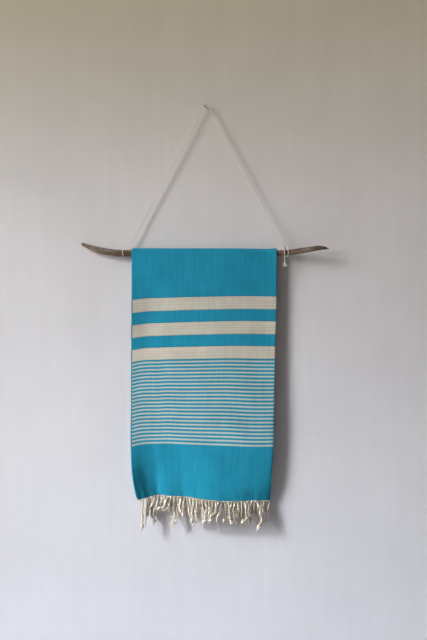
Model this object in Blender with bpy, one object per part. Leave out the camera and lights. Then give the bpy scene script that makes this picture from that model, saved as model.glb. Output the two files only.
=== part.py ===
"""A striped flat-woven towel folded in half along its length and hung over a driftwood stick,
which hangs from a nail by a cotton string.

Metres, +Z up. The origin is where the nail enters the wall. The wall is the plane Y = 0, and
all that hangs from the nail is on its -Y side, which is the front.
"""
from math import pi

import bpy
import numpy as np
from mathutils import Vector

# Stick, a bowed branch that lies along X
STICK_SIDES = 14
STICK_RINGS = 30
STICK_COLUMNS = ("x", "y", "z", "radius", "slant")
STICK_SECTIONS = (
    (-0.4385, -0.0110, -0.4654, 0.0046, 0.60),
    (-0.4271, -0.0115, -0.4703, 0.0077, 0.50),
    (-0.4096, -0.0128, -0.4790, 0.0106, 0.35),
    (-0.3889, -0.0138, -0.4849, 0.0114, 0.10),
    (-0.3705, -0.0145, -0.4890, 0.0118, 0.00),
    (-0.3504, -0.0152, -0.4926, 0.0119, 0.00),
    (-0.3252, -0.0162, -0.4961, 0.0119, 0.00),
    (-0.2950, -0.0172, -0.4980, 0.0117, 0.00),
    (-0.2500, -0.0178, -0.4968, 0.0111, 0.00),
    (-0.1000, -0.0182, -0.4960, 0.0102, 0.00),
    (0.1000, -0.0187, -0.4960, 0.0099, 0.00),
    (0.2347, -0.0195, -0.4969, 0.0097, 0.00),
    (0.2790, -0.0245, -0.4955, 0.0103, 0.00),
    (0.3026, -0.0300, -0.4925, 0.0105, 0.00),
    (0.3294, -0.0370, -0.4888, 0.0098, 0.00),
    (0.3460, -0.0420, -0.4865, 0.0094, 0.00),
    (0.3594, -0.0450, -0.4843, 0.0088, 0.20),
    (0.3736, -0.0479, -0.4817, 0.0081, 0.60),
    (0.3867, -0.0503, -0.4809, 0.0068, 1.20),
    (0.3969, -0.0522, -0.4815, 0.0055, 1.60),
    (0.4051, -0.0538, -0.4826, 0.0040, 1.80),
)

# Towel, one sheet folded once along its length, with the fold on the right
CLOTH_WIDTH = 1.00
CLOTH_THICKNESS = 0.0012
HALF_WIDTH = CLOTH_WIDTH / 2
STICK_CLEARANCE = 0.0005
LAYER_SPACING = 0.0032
FOLD_SPACING = 0.0050
FOLD_SWELL = 0.012
FOLD_STEPS = 4
FRONT_DROP = 0.8360
BACK_DROP = 0.7300
ARC_STEPS = 8
FRONT_STEPS = 14
BACK_STEPS = 8
ROW_CROWDING = 1.7
LINE_STEPS = 500

# Distances from the free edges where the sheet's solid has a line of points
LAYER_STATIONS = (
    0.000, 0.014, 0.028, 0.042, 0.054, 0.066, 0.078, 0.090, 0.102, 0.116, 0.132,
    0.148, 0.162, 0.180, 0.205, 0.240, 0.285, 0.345, 0.400, 0.445, 0.468, 0.484,
)

# How the hanging sheet's level lines run, by depth below the stick's centre. left and right are
# the outline, and sway is how far the middle stands off the plumb line. The rest are slopes:
# corner where the free edge stands forward, crease, ridge, dip and wave across the sheet, slack
# where it falls back to the right, and turn at the folded edge.
DROP_COLUMNS = (
    "below", "left", "right", "sway", "corner", "crease", "ridge", "dip", "wave", "slack", "turn",
)
FRONT_ROWS = (
    (0.000, -0.2642, 0.2326, 0.000, 0.00, 0.00, 0.00, 0.00, 0.00, 0.00, 0.00),
    (0.060, -0.2642, 0.2326, 0.003, 0.02, 0.00, 0.05, 0.00, 0.00, 0.02, 0.05),
    (0.163, -0.2641, 0.2323, 0.006, 0.17, 0.03, 0.08, 0.00, 0.01, 0.04, 0.08),
    (0.300, -0.2655, 0.2287, 0.008, 0.10, 0.00, 0.10, 0.00, 0.04, 0.05, 0.08),
    (0.506, -0.2658, 0.2236, 0.011, 0.09, 0.02, 0.02, 0.00, 0.03, 0.03, 0.12),
    (0.660, -0.2660, 0.2204, 0.013, 0.22, 0.08, 0.02, 0.00, 0.08, 0.02, 0.28),
    (0.746, -0.2615, 0.2143, 0.015, 0.44, 0.10, 0.07, 0.02, 0.17, 0.03, 0.36),
    (0.800, -0.2540, 0.2112, 0.014, 0.49, 0.10, 0.28, 0.13, 0.27, 0.07, 0.38),
    (0.830, -0.2462, 0.2105, 0.008, 0.50, 0.16, 0.32, 0.16, 0.29, 0.10, 0.36),
    (0.855, -0.2290, 0.2075, 0.005, 0.50, 0.17, 0.33, 0.17, 0.29, 0.10, 0.36),
)
BACK_ROWS = (
    (0.000, -0.2640, 0.2326, 0.0000, 0.00, 0.00, 0.00, 0.00, 0.00, 0.00, 0.00),
    (0.100, -0.2640, 0.2320, -0.0010, 0.01, 0.00, 0.01, 0.00, 0.01, 0.01, 0.03),
    (0.400, -0.2620, 0.2260, -0.0020, 0.02, 0.00, 0.01, 0.01, 0.02, 0.01, 0.05),
    (0.650, -0.2590, 0.2190, -0.0025, 0.03, 0.01, 0.02, 0.02, 0.02, 0.02, 0.05),
    (0.820, -0.2500, 0.2100, -0.0025, 0.04, 0.01, 0.03, 0.02, 0.03, 0.02, 0.05),
)

# How far the weave's level lines hang below the level, across the folded sheet
DROOP_STATIONS = (0.00, 0.03, 0.06, 0.09, 0.12, 0.18, 0.25, 0.33, 0.42, 0.50)
FRONT_DROOP = (
    (0.0000, (0.0, 0.0, 0.0, 0.0, 0.0, 0.0, 0.0, 0.0, 0.0, 0.0)),
    (0.1498, (0.0110, 0.0085, 0.0060, 0.0055, 0.0048, 0.0028, 0.0015, 0.0, -0.0015, -0.0010)),
    (0.6548, (0.0090, 0.0032, 0.0010, 0.0005, 0.0, 0.0020, 0.0045, 0.0070, 0.0100, 0.0095)),
    (0.8360, (0.0130, 0.0090, 0.0030, 0.0, 0.0025, 0.0040, 0.0110, 0.0180, 0.0170, 0.0170)),
)
BACK_DROOP = (
    (0.0000, (0.0, 0.0, 0.0, 0.0, 0.0, 0.0, 0.0, 0.0, 0.0, 0.0)),
    (0.8000, (0.0, 0.0010, 0.0015, 0.0020, 0.0030, 0.0040, 0.0050, 0.0055, 0.0060, 0.0065)),
)

# Where those forms lie, as distances from the free edge: where each ramp starts and ends, and
# the middle and half width of each hump
CORNER = (0.005, 0.078)
CREASE = (0.060, 0.014)
RIDGE = (0.101, 0.021)
DIP = (0.158, 0.016)
WAVE = (0.208, 0.048)
SLACK = (0.22, 0.40)
TURN = (0.455, 0.495)
PLUMB_STATION = 0.25

# Fringe, twisted tassels knotted at their ends, on a strip along each hem
TASSELS_PER_LAYER = 20
OUTER_START = 0.85
INNER_START = 1.35
STRIP_GAP = 0.0005
STRIP_HEIGHT = 0.0030
STRIP_THICKNESS = 0.0016
ROOT_WIDTH = 0.0052
TASSEL_TWIST = 0.45
TASSEL_CORNER = 1.2
TASSEL_STEPS = 60
# Shares of the way down a tassel, with its radius there
TASSEL_SECTIONS = (
    (0.06, 0.0026),
    (0.15, 0.0030),
    (0.26, 0.0029),
    (0.37, 0.0030),
    (0.48, 0.0028),
    (0.58, 0.0029),
    (0.67, 0.0027),
    (0.75, 0.0028),
    (0.82, 0.0045),
    (0.88, 0.0049),
    (0.93, 0.0026),
    (1.00, 0.0034),
)
# Ways the tassels hang: the length, then how many degrees they lean to the right of straight
# down at the root, halfway and at the end
TASSEL_FORMS = {
    "long": (0.106, -6, 0, -8),
    "long crossing": (0.100, 0, 16, 6),
    "slanting": (0.080, -10, -36, -4),
    "curled": (0.064, -10, -42, -115),
    "short": (0.054, 5, -5, 10),
    "brief": (0.042, -4, 10, -6),
    "plain": (0.074, 3, -6, -12),
    "bowed": (0.096, 4, 16, -34),
    "looped": (0.086, -10, 4, 82),
    "turned back": (0.084, 8, -2, -78),
    "hooked": (0.106, 16, 2, -52),
    "turned out": (0.078, -2, -2, 62),
}
OUTER_ORDER = (
    "long", "long crossing", "slanting", "short", "curled", "long", "short",
    "long crossing", "short", "bowed", "plain", "short", "slanting", "plain",
    "looped", "short", "turned back", "plain", "hooked", "turned out",
)
PLAIN_ORDER = ("short", "brief", "plain", "brief", "short", "slanting", "brief")
BACK_ORDER = ("brief", "short", "brief", "brief", "short")
PLAIN_SHARE = 0.45
# How far the tassels lean to the back, in turn, by side (-1 in front, 1 behind) and layer
LEANS = {
    (-1, "outer"): (-0.0180, -0.0070),
    (-1, "inner"): (-0.0025, -0.0025),
    (1, "outer"): (-0.0015, -0.0020),
    (1, "inner"): (-0.0015, -0.0030),
}
LEAN_DEPTH = 0.35

# String and nail
STRING_DIAMETER = 0.0030
STRING_RADIUS = STRING_DIAMETER / 2
STRING_CLEARANCE = 0.0004
WRAP_CLEARANCE = 0.0008
NAIL_HEAD_END = (-0.0155, -0.0205, 0.0105)
NAIL_DIAMETER = 0.0024
NAIL_HEAD_DIAMETER = 0.0052
NAIL_HEAD_THICKNESS = 0.0012
NAIL_LENGTH = 0.050
NAIL_POINT_LENGTH = 0.005
NAIL_SIDES = 12
STRING_SEAT = 0.74
STRING_BEND = 0.0062
STRING_LEAN = 62
STRING_SPACING = 0.02
STRING_TIGHT_SPACING = 0.0075
# Where the string lies on the stick: x, then degrees from its top, 90 at the back and 270 in front
LEFT_WRAP = (
    (-0.2945, 118), (-0.2952, 90), (-0.2958, 45), (-0.2962, 0), (-0.2963, -45), (-0.2957, -90),
    (-0.2925, -135), (-0.2872, -180), (-0.2826, -225), (-0.2793, -270), (-0.2776, -300),
)
RIGHT_WRAP = (
    (0.2635, 25), (0.2642, 60), (0.2650, 100), (0.2667, 140), (0.2689, 180), (0.2717, 225),
    (0.2729, 270), (0.2711, 310),
)
# Where its straight parts meet the stick, and its free end after the wrap: x, y, z
LEFT_FOOT = (-0.2700, -0.0110, -0.4722)
RIGHT_FOOT = (0.2607, -0.0222, -0.4750)
FREE_END = (
    (0.2700, -0.0291, -0.4839),
    (0.2683, -0.0221, -0.4772),
    (0.2635, -0.0168, -0.4726),
    (0.2575, -0.0186, -0.4720),
    (0.2543, -0.0251, -0.4754),
    (0.2557, -0.0318, -0.4814),
    (0.2585, -0.0356, -0.4894),
    (0.2595, -0.0363, -0.5004),
    (0.2595, -0.0356, -0.5124),
    (0.2607, -0.0346, -0.5234),
    (0.2621, -0.0341, -0.5334),
)

# Knots, one at each end of the string: width, depth and height
FREE_KNOT = (0.0175, 0.0110, 0.0125)
TIED_KNOT = (0.0062, 0.0062, 0.0062)
FREE_KNOT_GAP = 0.0004
TIED_KNOT_REACH = 0.0028
TIED_KNOT_LIFT = 0.0016
KNOT_RINGS = 9
KNOT_SIDES = 14
KNOT_LOBES = 3
KNOT_RIDGE = 0.10
KNOT_SLANT = 2.2

SHARP_ANGLE = 0.9

# Colours in linear light
BLUE = (0.020, 0.270, 0.420)
CREAM = (0.560, 0.500, 0.400)
DRIFTWOOD = (0.190, 0.140, 0.105)
NAIL_GREY = (0.160, 0.150, 0.140)


def clear_scene():
    for item in list(bpy.data.objects):
        bpy.data.objects.remove(item, do_unlink=True)


def finish(name, colour, roughness, metallic=0.0):
    """A plain material of one colour."""
    made = bpy.data.materials.new(name)
    made.use_nodes = True
    shader = made.node_tree.nodes["Principled BSDF"]
    shader.inputs["Base Color"].default_value = (*colour, 1.0)
    shader.inputs["Roughness"].default_value = roughness
    shader.inputs["Metallic"].default_value = metallic
    return made


def column(table, names, wanted):
    return np.array([row[names.index(wanted)] for row in table])


def curve_through(at, knots, values):
    """Cubic curve through the values at the knots, held level past the first and last."""
    slopes = np.gradient(values, knots)
    left = np.clip(np.searchsorted(knots, at) - 1, 0, len(knots) - 2)
    span = knots[left + 1] - knots[left]
    t = np.clip((at - knots[left]) / span, 0.0, 1.0)
    start = values[left] * (2 * t**3 - 3 * t**2 + 1) + slopes[left] * span * (t**3 - 2 * t**2 + t)
    end = values[left + 1] * (3 * t**2 - 2 * t**3) + slopes[left + 1] * span * (t**3 - t**2)
    return start + end


def smoothstep(low, high, at):
    t = np.clip((at - low) / (high - low), 0.0, 1.0)
    return t * t * (3 - 2 * t)


def hump(at):
    return np.exp(-at * at)


def add_mesh(name, points, faces, material):
    mesh = bpy.data.meshes.new(name)
    mesh.from_pydata([tuple(map(float, point)) for point in points], [], faces)
    mesh.validate()
    mesh.update()
    thing = bpy.data.objects.new(name, mesh)
    bpy.context.collection.objects.link(thing)
    mesh.materials.append(material)
    mesh.shade_smooth()
    mesh.set_sharp_from_angle(angle=SHARP_ANGLE)
    return thing


def tube_faces(rings, sides):
    """Quads between rings of points, and a cap at each end."""
    faces = []
    for ring in range(rings - 1):
        base = ring * sides
        for side in range(sides):
            after = (side + 1) % sides
            faces.append((base + side, base + after, base + sides + after, base + sides + side))
    faces.append(tuple(reversed(range(sides))))
    faces.append(tuple(range((rings - 1) * sides, rings * sides)))
    return faces


# Stick

def stick_value(name, x):
    knots = column(STICK_SECTIONS, STICK_COLUMNS, "x")
    return curve_through(x, knots, column(STICK_SECTIONS, STICK_COLUMNS, name))


def stick_stations():
    """Places of the rings along X: even, but crowded towards both broken ends."""
    first = STICK_SECTIONS[0][0]
    last = STICK_SECTIONS[-1][0]
    even = np.linspace(-1.0, 1.0, STICK_RINGS)
    crowded = np.sin(even * pi / 2)
    place = 0.5 * (even + crowded)
    return first + (last - first) * (place + 1) / 2


def make_stick(material):
    points = []
    for x in stick_stations():
        radius = stick_value("radius", x)
        slant = stick_value("slant", x)
        for side in range(STICK_SIDES):
            angle = 2 * pi * side / STICK_SIDES
            height = radius * np.cos(angle)
            points.append((
                x - slant * height,
                stick_value("y", x) + radius * np.sin(angle),
                stick_value("z", x) + height,
            ))
    faces = tube_faces(STICK_RINGS, STICK_SIDES)
    add_mesh("stick", points, [tuple(reversed(face)) for face in faces], material)


# Towel

def heading(s, below, rows):
    """Slope of a level line of the sheet, at distance s from the free edge, as an angle that is
    positive where the sheet comes forward towards the right."""
    def strength(name):
        knots = column(rows, DROP_COLUMNS, "below")
        return curve_through(below, knots, column(rows, DROP_COLUMNS, name))

    def bump(name, place):
        middle, width = place
        return strength(name) * hump((s - middle) / width)

    corner = strength("corner") * (1 - smoothstep(*CORNER, s))
    slack = strength("slack") * smoothstep(*SLACK, s)
    turn = strength("turn") * smoothstep(*TURN, s)
    forward = bump("ridge", RIDGE) + bump("wave", WAVE)
    return forward - corner - bump("crease", CREASE) - bump("dip", DIP) - slack - turn


def level_line(below, rows):
    """The sheet's course at one depth: distances s, then x, stand-off and heading there."""
    s = np.linspace(0.0, HALF_WIDTH, LINE_STEPS + 1)
    angle = heading(s, below, rows)
    step = s[1] - s[0]
    across = np.concatenate(([0.0], np.cumsum(np.cos(0.5 * (angle[1:] + angle[:-1])) * step)))
    forward = np.concatenate(([0.0], np.cumsum(np.sin(0.5 * (angle[1:] + angle[:-1])) * step)))
    knots = column(rows, DROP_COLUMNS, "below")
    left = curve_through(below, knots, column(rows, DROP_COLUMNS, "left"))
    right = curve_through(below, knots, column(rows, DROP_COLUMNS, "right"))
    sway = curve_through(below, knots, column(rows, DROP_COLUMNS, "sway"))
    x = left + across * (right - left) / across[-1]
    stand_off = forward - np.interp(PLUMB_STATION, s, forward) + sway
    return s, x, stand_off, angle


def layer_spacing(s):
    """Distance between the two layers, which swells near the folded edge."""
    fold_start = HALF_WIDTH - FOLD_SPACING / 2
    return LAYER_SPACING + (FOLD_SPACING - LAYER_SPACING) * hump((fold_start - s) / FOLD_SWELL)


def hairpin():
    """Points round the folded sheet from its outer free edge to its inner one: the distance
    from the free edges, and the lift outward from the inner layer."""
    turn_radius = FOLD_SPACING / 2
    flat = np.array(LAYER_STATIONS + (HALF_WIDTH - turn_radius,))
    turn = np.linspace(pi / 2, -pi / 2, FOLD_STEPS + 1)[1:-1]
    s = np.concatenate((flat, flat[-1] + turn_radius * np.cos(turn), flat[::-1]))
    bend_lift = turn_radius * (1 + np.sin(turn))
    lift = np.concatenate((layer_spacing(flat), bend_lift, np.zeros(len(flat))))
    return s, lift


def droop_at(s, below, table):
    """How far the sheet's weave hangs below the level at s and below."""
    depths = np.array([row[0] for row in table])
    stations = np.array(DROOP_STATIONS)
    lines = np.array([curve_through(s, stations, np.array(row[1])) for row in table])
    slopes = np.gradient(lines, depths, axis=0)
    left = int(np.clip(np.searchsorted(depths, below) - 1, 0, len(depths) - 2))
    span = depths[left + 1] - depths[left]
    t = min(max((below - depths[left]) / span, 0.0), 1.0)
    start = lines[left] * (2 * t**3 - 3 * t**2 + 1) + slopes[left] * span * (t**3 - 2 * t**2 + t)
    end = lines[left + 1] * (3 * t**2 - 2 * t**3) + slopes[left + 1] * span * (t**3 - t**2)
    return start + end


def sheet_row(side, angle, below):
    """One level row of the sheet's middle surface. side is -1 in front and 1 behind, angle is
    from the top of the stick down to that side, and below is the drop under its centre."""
    rows = FRONT_ROWS if side < 0 else BACK_ROWS
    table = FRONT_DROOP if side < 0 else BACK_DROOP
    s, lift = hairpin()
    line_s, line_x, line_off, line_heading = level_line(below, rows)
    turned = np.interp(s, line_s, line_heading)
    x = np.interp(s, line_s, line_x) - np.sin(turned) * lift
    off = np.interp(s, line_s, line_off) + np.cos(turned) * lift
    reach = stick_value("radius", x) + STICK_CLEARANCE + CLOTH_THICKNESS / 2 + off
    y = stick_value("y", x) + side * reach * np.sin(angle)
    z = stick_value("z", x) + reach * np.cos(angle) - below - droop_at(s, below, table)
    return np.stack((x, y, z), axis=1)


def sheet_rows():
    """Rows from the front hem up over the stick to the back hem."""
    def depths(drop, steps):
        even = np.linspace(0.0, 1.0, steps + 1)[1:]
        return drop * (1 - (1 - even) ** ROW_CROWDING)

    rows = [sheet_row(-1, pi / 2, below) for below in depths(FRONT_DROP, FRONT_STEPS)[::-1]]
    for angle in np.linspace(-pi / 2, pi / 2, ARC_STEPS + 1):
        side = -1 if angle < 0 else 1
        rows.append(sheet_row(side, abs(angle), 0.0))
    rows += [sheet_row(1, pi / 2, below) for below in depths(BACK_DROP, BACK_STEPS)]
    return rows


def make_towel(material):
    rows = sheet_rows()
    width = len(rows[0])
    faces = []
    for row in range(len(rows) - 1):
        for place in range(width - 1):
            first = row * width + place
            corners = (first, first + 1, first + width + 1, first + width)
            faces.append((corners[0], corners[1], corners[2]))
            faces.append((corners[0], corners[2], corners[3]))
    thing = add_mesh("towel", np.concatenate(rows), faces, material)
    cloth = thing.modifiers.new("thickness", "SOLIDIFY")
    cloth.thickness = CLOTH_THICKNESS
    cloth.offset = 0.0
    cloth.use_even_offset = True
    return rows


# Fringe

def along_hem(hem, distances):
    """Points on the hem's straight-sided line, and the level direction across it."""
    steps = np.linalg.norm(np.diff(hem, axis=0), axis=1)
    travel = np.concatenate(([0.0], np.cumsum(steps)))
    point = np.stack([np.interp(distances, travel, hem[:, axis]) for axis in range(3)], axis=1)
    tangent = np.gradient(hem, travel, axis=0)
    across = np.stack((-tangent[:, 1], tangent[:, 0]), axis=1)
    across /= np.linalg.norm(across, axis=1)[:, None]
    facing = np.stack([np.interp(distances, travel, across[:, axis]) for axis in range(2)], axis=1)
    facing /= np.linalg.norm(facing, axis=1)[:, None]
    return point, np.concatenate((facing, np.zeros((len(facing), 1))), axis=1), travel[-1]


def tassel_roots(length, side):
    """Middle of each tassel's root along the hem, with its form, the share of that form it
    takes and its lean. The fold carries none, and only the front's outer layer has its own
    order of forms."""
    pitch = length / 2 / (TASSELS_PER_LAYER + 1)
    plain = PLAIN_ORDER if side < 0 else BACK_ORDER
    roots = []
    for order in range(TASSELS_PER_LAYER):
        own = side < 0
        form = OUTER_ORDER[order] if own else plain[order % len(plain)]
        share = 1.0 if own else PLAIN_SHARE
        lean = LEANS[(side, "outer")][order % 2]
        roots.append(((order + OUTER_START) * pitch, TASSEL_FORMS[form], share, lean))
        form = plain[(order + 3) % len(plain)]
        lean = LEANS[(side, "inner")][order % 2]
        place = length - (order + INNER_START) * pitch
        roots.append((place, TASSEL_FORMS[form], PLAIN_SHARE, lean))
    return sorted(roots)


def tassel_course(start, form, share, lean):
    """Points down the middle of a tassel, whose lean to the right runs smoothly through the
    three leans of its form."""
    length, first, middle, last = form
    along = (np.arange(TASSEL_STEPS) + 0.5) / TASSEL_STEPS
    bend = 2 * (first + last - 2 * middle)
    degrees = first + (4 * middle - 3 * first - last) * along + bend * along**2
    angle = np.radians(share * degrees)
    step = length / TASSEL_STEPS
    right = np.concatenate(([0.0], np.cumsum(np.sin(angle)) * step))
    down = np.concatenate(([0.0], np.cumsum(np.cos(angle)) * step))
    back = lean * smoothstep(0.0, LEAN_DEPTH, np.linspace(0.0, 1.0, TASSEL_STEPS + 1))
    return start + np.stack((right, back, -down), axis=1)


def make_fringe(name, hem, side, material):
    """A narrow strip along the hem with a four-sided tassel for each root in its lower face."""
    _, _, hem_length = along_hem(hem, np.array([0.0]))
    roots = tassel_roots(hem_length, side)
    middles = np.array([root[0] for root in roots])
    edges = np.concatenate((middles - ROOT_WIDTH / 2, middles + ROOT_WIDTH / 2))
    turn = hem_length / 2 + np.linspace(-1.0, 1.0, FOLD_STEPS + 1) * FOLD_SPACING * pi / 4
    ends = [STRIP_GAP, hem_length - STRIP_GAP]
    nodes = np.sort(np.concatenate((edges, turn, ends)))
    centre, facing, _ = along_hem(hem, nodes)
    top = centre - np.array((0.0, 0.0, STRIP_GAP))
    low = top - np.array((0.0, 0.0, STRIP_HEIGHT))
    half = facing * STRIP_THICKNESS / 2
    points = []
    for place in range(len(nodes)):
        points += [top[place] + half[place], top[place] - half[place]]
        points += [low[place] - half[place], low[place] + half[place]]
    last = 4 * (len(nodes) - 1)
    faces = [(3, 2, 1, 0), (last, last + 1, last + 2, last + 3)]
    hung = iter(roots)
    for place in range(len(nodes) - 1):
        here = 4 * place
        after = here + 4
        for side_a, side_b in ((0, 1), (1, 2), (3, 0)):
            faces.append((here + side_a, here + side_b, after + side_b, after + side_a))
        under = (here + 2, here + 3, after + 3, after + 2)
        from_root = np.abs(middles - 0.5 * (nodes[place] + nodes[place + 1]))
        if from_root.min() < ROOT_WIDTH / 4:
            _, form, share, lean = next(hung)
            add_tassel(points, faces, under, form, share, lean)
        else:
            faces.append(under)
    add_mesh(name, points, faces, material)


def add_tassel(points, faces, root, form, share, lean):
    """Rings of four points square to the tassel's course, from the root down, turned a little
    each time as its yarns are, the last one capped."""
    corners = np.array([points[corner] for corner in root])
    start = corners.mean(axis=0)
    spoke = corners[0] - start
    first = np.arctan2(spoke[1], spoke[0])
    spin = np.sign(np.cross(corners[0] - start, corners[1] - start)[2])
    course = tassel_course(start, form, share, lean)
    ring = list(root)
    for order, (along, radius) in enumerate(TASSEL_SECTIONS):
        place = round(along * TASSEL_STEPS)
        downward = course[place] - course[place - 1]
        downward /= np.linalg.norm(downward)
        back = np.array((0.0, 1.0, 0.0)) - downward[1] * downward
        back /= np.linalg.norm(back)
        right = np.cross(downward, back)
        reach = radius * TASSEL_CORNER
        fresh = len(points)
        for corner in range(4):
            angle = first + spin * (pi / 2 * corner) + TASSEL_TWIST * (order + 1)
            spoke = np.cos(angle) * right + np.sin(angle) * back
            points.append(course[place] + reach * spoke)
        for corner in range(4):
            after = (corner + 1) % 4
            faces.append((ring[corner], ring[after], fresh + after, fresh + corner))
        ring = [fresh, fresh + 1, fresh + 2, fresh + 3]
    faces.append(tuple(ring))


# String

def round_stick(x, angle):
    """A point on the string's line where it lies on the stick."""
    reach = stick_value("radius", x) + STRING_RADIUS + WRAP_CLEARANCE
    turned = np.radians(angle)
    y = stick_value("y", x) + reach * np.sin(turned)
    return (x, y, stick_value("z", x) + reach * np.cos(turned))


def nail_direction():
    return Vector(NAIL_HEAD_END).normalized()


def over_nail():
    """Points of the string's bend over the nail, from left to right."""
    seat = Vector(NAIL_HEAD_END) * STRING_SEAT
    lift = NAIL_DIAMETER / 2 + STRING_RADIUS + STRING_CLEARANCE
    top = seat.z + lift / np.cos(np.arcsin(nail_direction().z))
    points = []
    for angle in np.radians(STRING_LEAN) * np.linspace(-1.0, 1.0, 5):
        x = seat.x + STRING_BEND * np.sin(angle)
        points.append((x, seat.y, top - STRING_BEND * (1 - np.cos(angle))))
    return points


def string_route():
    """The string's own points, from behind the stick on the left, over the nail, to the free
    end on the right."""
    bend = over_nail()
    points = [round_stick(x, angle) for x, angle in LEFT_WRAP]
    points.append(LEFT_FOOT)
    points += between(LEFT_FOOT, bend[0], 4)
    points += bend
    points += between(bend[-1], RIGHT_FOOT, 4)
    points.append(RIGHT_FOOT)
    points += [round_stick(x, angle) for x, angle in RIGHT_WRAP]
    points += FREE_END
    return points


def between(start, end, count):
    """Points on the straight between two points, without its ends."""
    start = np.array(start)
    end = np.array(end)
    return [tuple(start + (end - start) * (place + 1) / (count + 1)) for place in range(count)]


def smooth_line(points):
    """Points read from a smooth curve through the route, closer together where it bends."""
    route = np.array(points)
    travel = np.concatenate(([0.0], np.cumsum(np.linalg.norm(np.diff(route, axis=0), axis=1))))
    read = []
    for start, end in zip(travel[:-1], travel[1:]):
        steps = 2 if STRING_TIGHT_SPACING < end - start < STRING_SPACING else 1
        read += list(start + (end - start) * np.arange(steps) / steps)
    read = np.array(read + [travel[-1]])
    return np.stack([curve_through(read, travel, route[:, axis]) for axis in range(3)], axis=1)


def make_string(material):
    line = smooth_line(string_route())
    curve = bpy.data.curves.new("string", "CURVE")
    curve.dimensions = "3D"
    curve.bevel_depth = STRING_RADIUS
    curve.bevel_resolution = 2
    curve.use_fill_caps = True
    spline = curve.splines.new("POLY")
    spline.points.add(len(line) - 1)
    for point, place in zip(spline.points, line):
        point.co = (*map(float, place), 1.0)
    curve.materials.append(material)
    bpy.context.collection.objects.link(bpy.data.objects.new("string", curve))
    return line


def knot_points():
    """A ball of radius 1 with a few soft ridges that slant round it."""
    points = [(0.0, 0.0, 1.0)]
    for ring in range(1, KNOT_RINGS):
        tilt = pi * ring / KNOT_RINGS
        for side in range(KNOT_SIDES):
            turn = 2 * pi * side / KNOT_SIDES
            ridge = KNOT_RIDGE * np.sin(KNOT_LOBES * turn + KNOT_SLANT * tilt) * np.sin(tilt)
            reach = (1 + ridge) * np.sin(tilt)
            points.append((reach * np.cos(turn), reach * np.sin(turn), np.cos(tilt)))
    points.append((0.0, 0.0, -1.0))
    return np.array(points)


def make_knot(name, centre, size, material):
    """A knot as wide, deep and high as size says."""
    points = knot_points()
    last_ring = 1 + (KNOT_RINGS - 2) * KNOT_SIDES
    faces = []
    for side in range(KNOT_SIDES):
        after = (side + 1) % KNOT_SIDES
        faces.append((0, 1 + side, 1 + after))
        for ring in range(KNOT_RINGS - 2):
            upper = 1 + ring * KNOT_SIDES
            lower = upper + KNOT_SIDES
            faces.append((upper + side, lower + side, lower + after, upper + after))
        faces.append((len(points) - 1, last_ring + after, last_ring + side))
    add_mesh(name, points * np.array(size) / 2 + np.array(centre), faces, material)


def make_knots(line, material):
    """The free end's knot hangs under the string's end, and the other lies behind the stick."""
    hang = FREE_KNOT[2] / 2 + FREE_KNOT_GAP
    make_knot("string-knot-free", line[-1] - np.array((0.0, 0.0, hang)), FREE_KNOT, material)
    away = line[0] - line[1]
    away /= np.linalg.norm(away)
    centre = line[0] + away * TIED_KNOT_REACH
    middle = (centre[0], stick_value("y", centre[0]), stick_value("z", centre[0]))
    out = centre - np.array(middle)
    centre = centre + TIED_KNOT_LIFT * out / np.linalg.norm(out)
    make_knot("string-knot-tied", centre, TIED_KNOT, material)


# Nail

def make_nail(material):
    """A round shank with a flat head in front of the wall and a point inside it."""
    front = Vector(NAIL_HEAD_END).length
    radius = NAIL_DIAMETER / 2
    head = NAIL_HEAD_DIAMETER / 2
    back = front - NAIL_LENGTH
    profile = (
        (front, head),
        (front - NAIL_HEAD_THICKNESS, head),
        (front - NAIL_HEAD_THICKNESS * 1.6, radius),
        (back + NAIL_POINT_LENGTH, radius),
        (back, radius * 0.2),
    )
    turn = Vector((0.0, 0.0, 1.0)).rotation_difference(nail_direction()).to_matrix()
    points = []
    for along, reach in profile:
        for side in range(NAIL_SIDES):
            angle = 2 * pi * side / NAIL_SIDES
            points.append(turn @ Vector((reach * np.cos(angle), reach * np.sin(angle), along)))
    faces = [tuple(reversed(face)) for face in tube_faces(len(profile), NAIL_SIDES)]
    add_mesh("nail", points, faces, material)


def main():
    clear_scene()
    cloth = finish("towel cloth", BLUE, 0.92)
    yarn = finish("fringe yarn", CREAM, 0.90)
    cotton = finish("string cotton", CREAM, 0.90)
    make_stick(finish("driftwood", DRIFTWOOD, 0.85))
    rows = make_towel(cloth)
    make_fringe("fringe-front", rows[0], -1, yarn)
    make_fringe("fringe-back", rows[-1], 1, yarn)
    line = make_string(cotton)
    make_knots(line, cotton)
    make_nail(finish("nail metal", NAIL_GREY, 0.45, 1.0))


main()
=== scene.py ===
"""A striped flat-woven towel folded in half along its length and hung over a driftwood stick,
which hangs from a nail by a cotton string. Metres, +Z up; the wall is the plane Y = 0 and the
front is the -Y side."""
from math import pi, radians

import bpy
import numpy as np
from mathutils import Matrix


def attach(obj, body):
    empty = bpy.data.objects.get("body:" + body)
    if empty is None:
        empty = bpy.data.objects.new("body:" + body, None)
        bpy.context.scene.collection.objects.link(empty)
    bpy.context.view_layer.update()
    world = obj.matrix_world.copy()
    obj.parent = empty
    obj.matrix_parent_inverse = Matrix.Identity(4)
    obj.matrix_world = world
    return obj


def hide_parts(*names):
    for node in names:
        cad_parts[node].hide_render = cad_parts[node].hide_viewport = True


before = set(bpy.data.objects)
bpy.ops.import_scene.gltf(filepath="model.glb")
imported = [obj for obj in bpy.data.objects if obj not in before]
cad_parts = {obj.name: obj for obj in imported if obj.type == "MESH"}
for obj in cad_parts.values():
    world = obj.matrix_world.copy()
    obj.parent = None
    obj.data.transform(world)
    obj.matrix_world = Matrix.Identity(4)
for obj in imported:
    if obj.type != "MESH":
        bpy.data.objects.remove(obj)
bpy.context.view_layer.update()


# Camera: straight in front of the wall, level with the towel's upper half.

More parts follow.
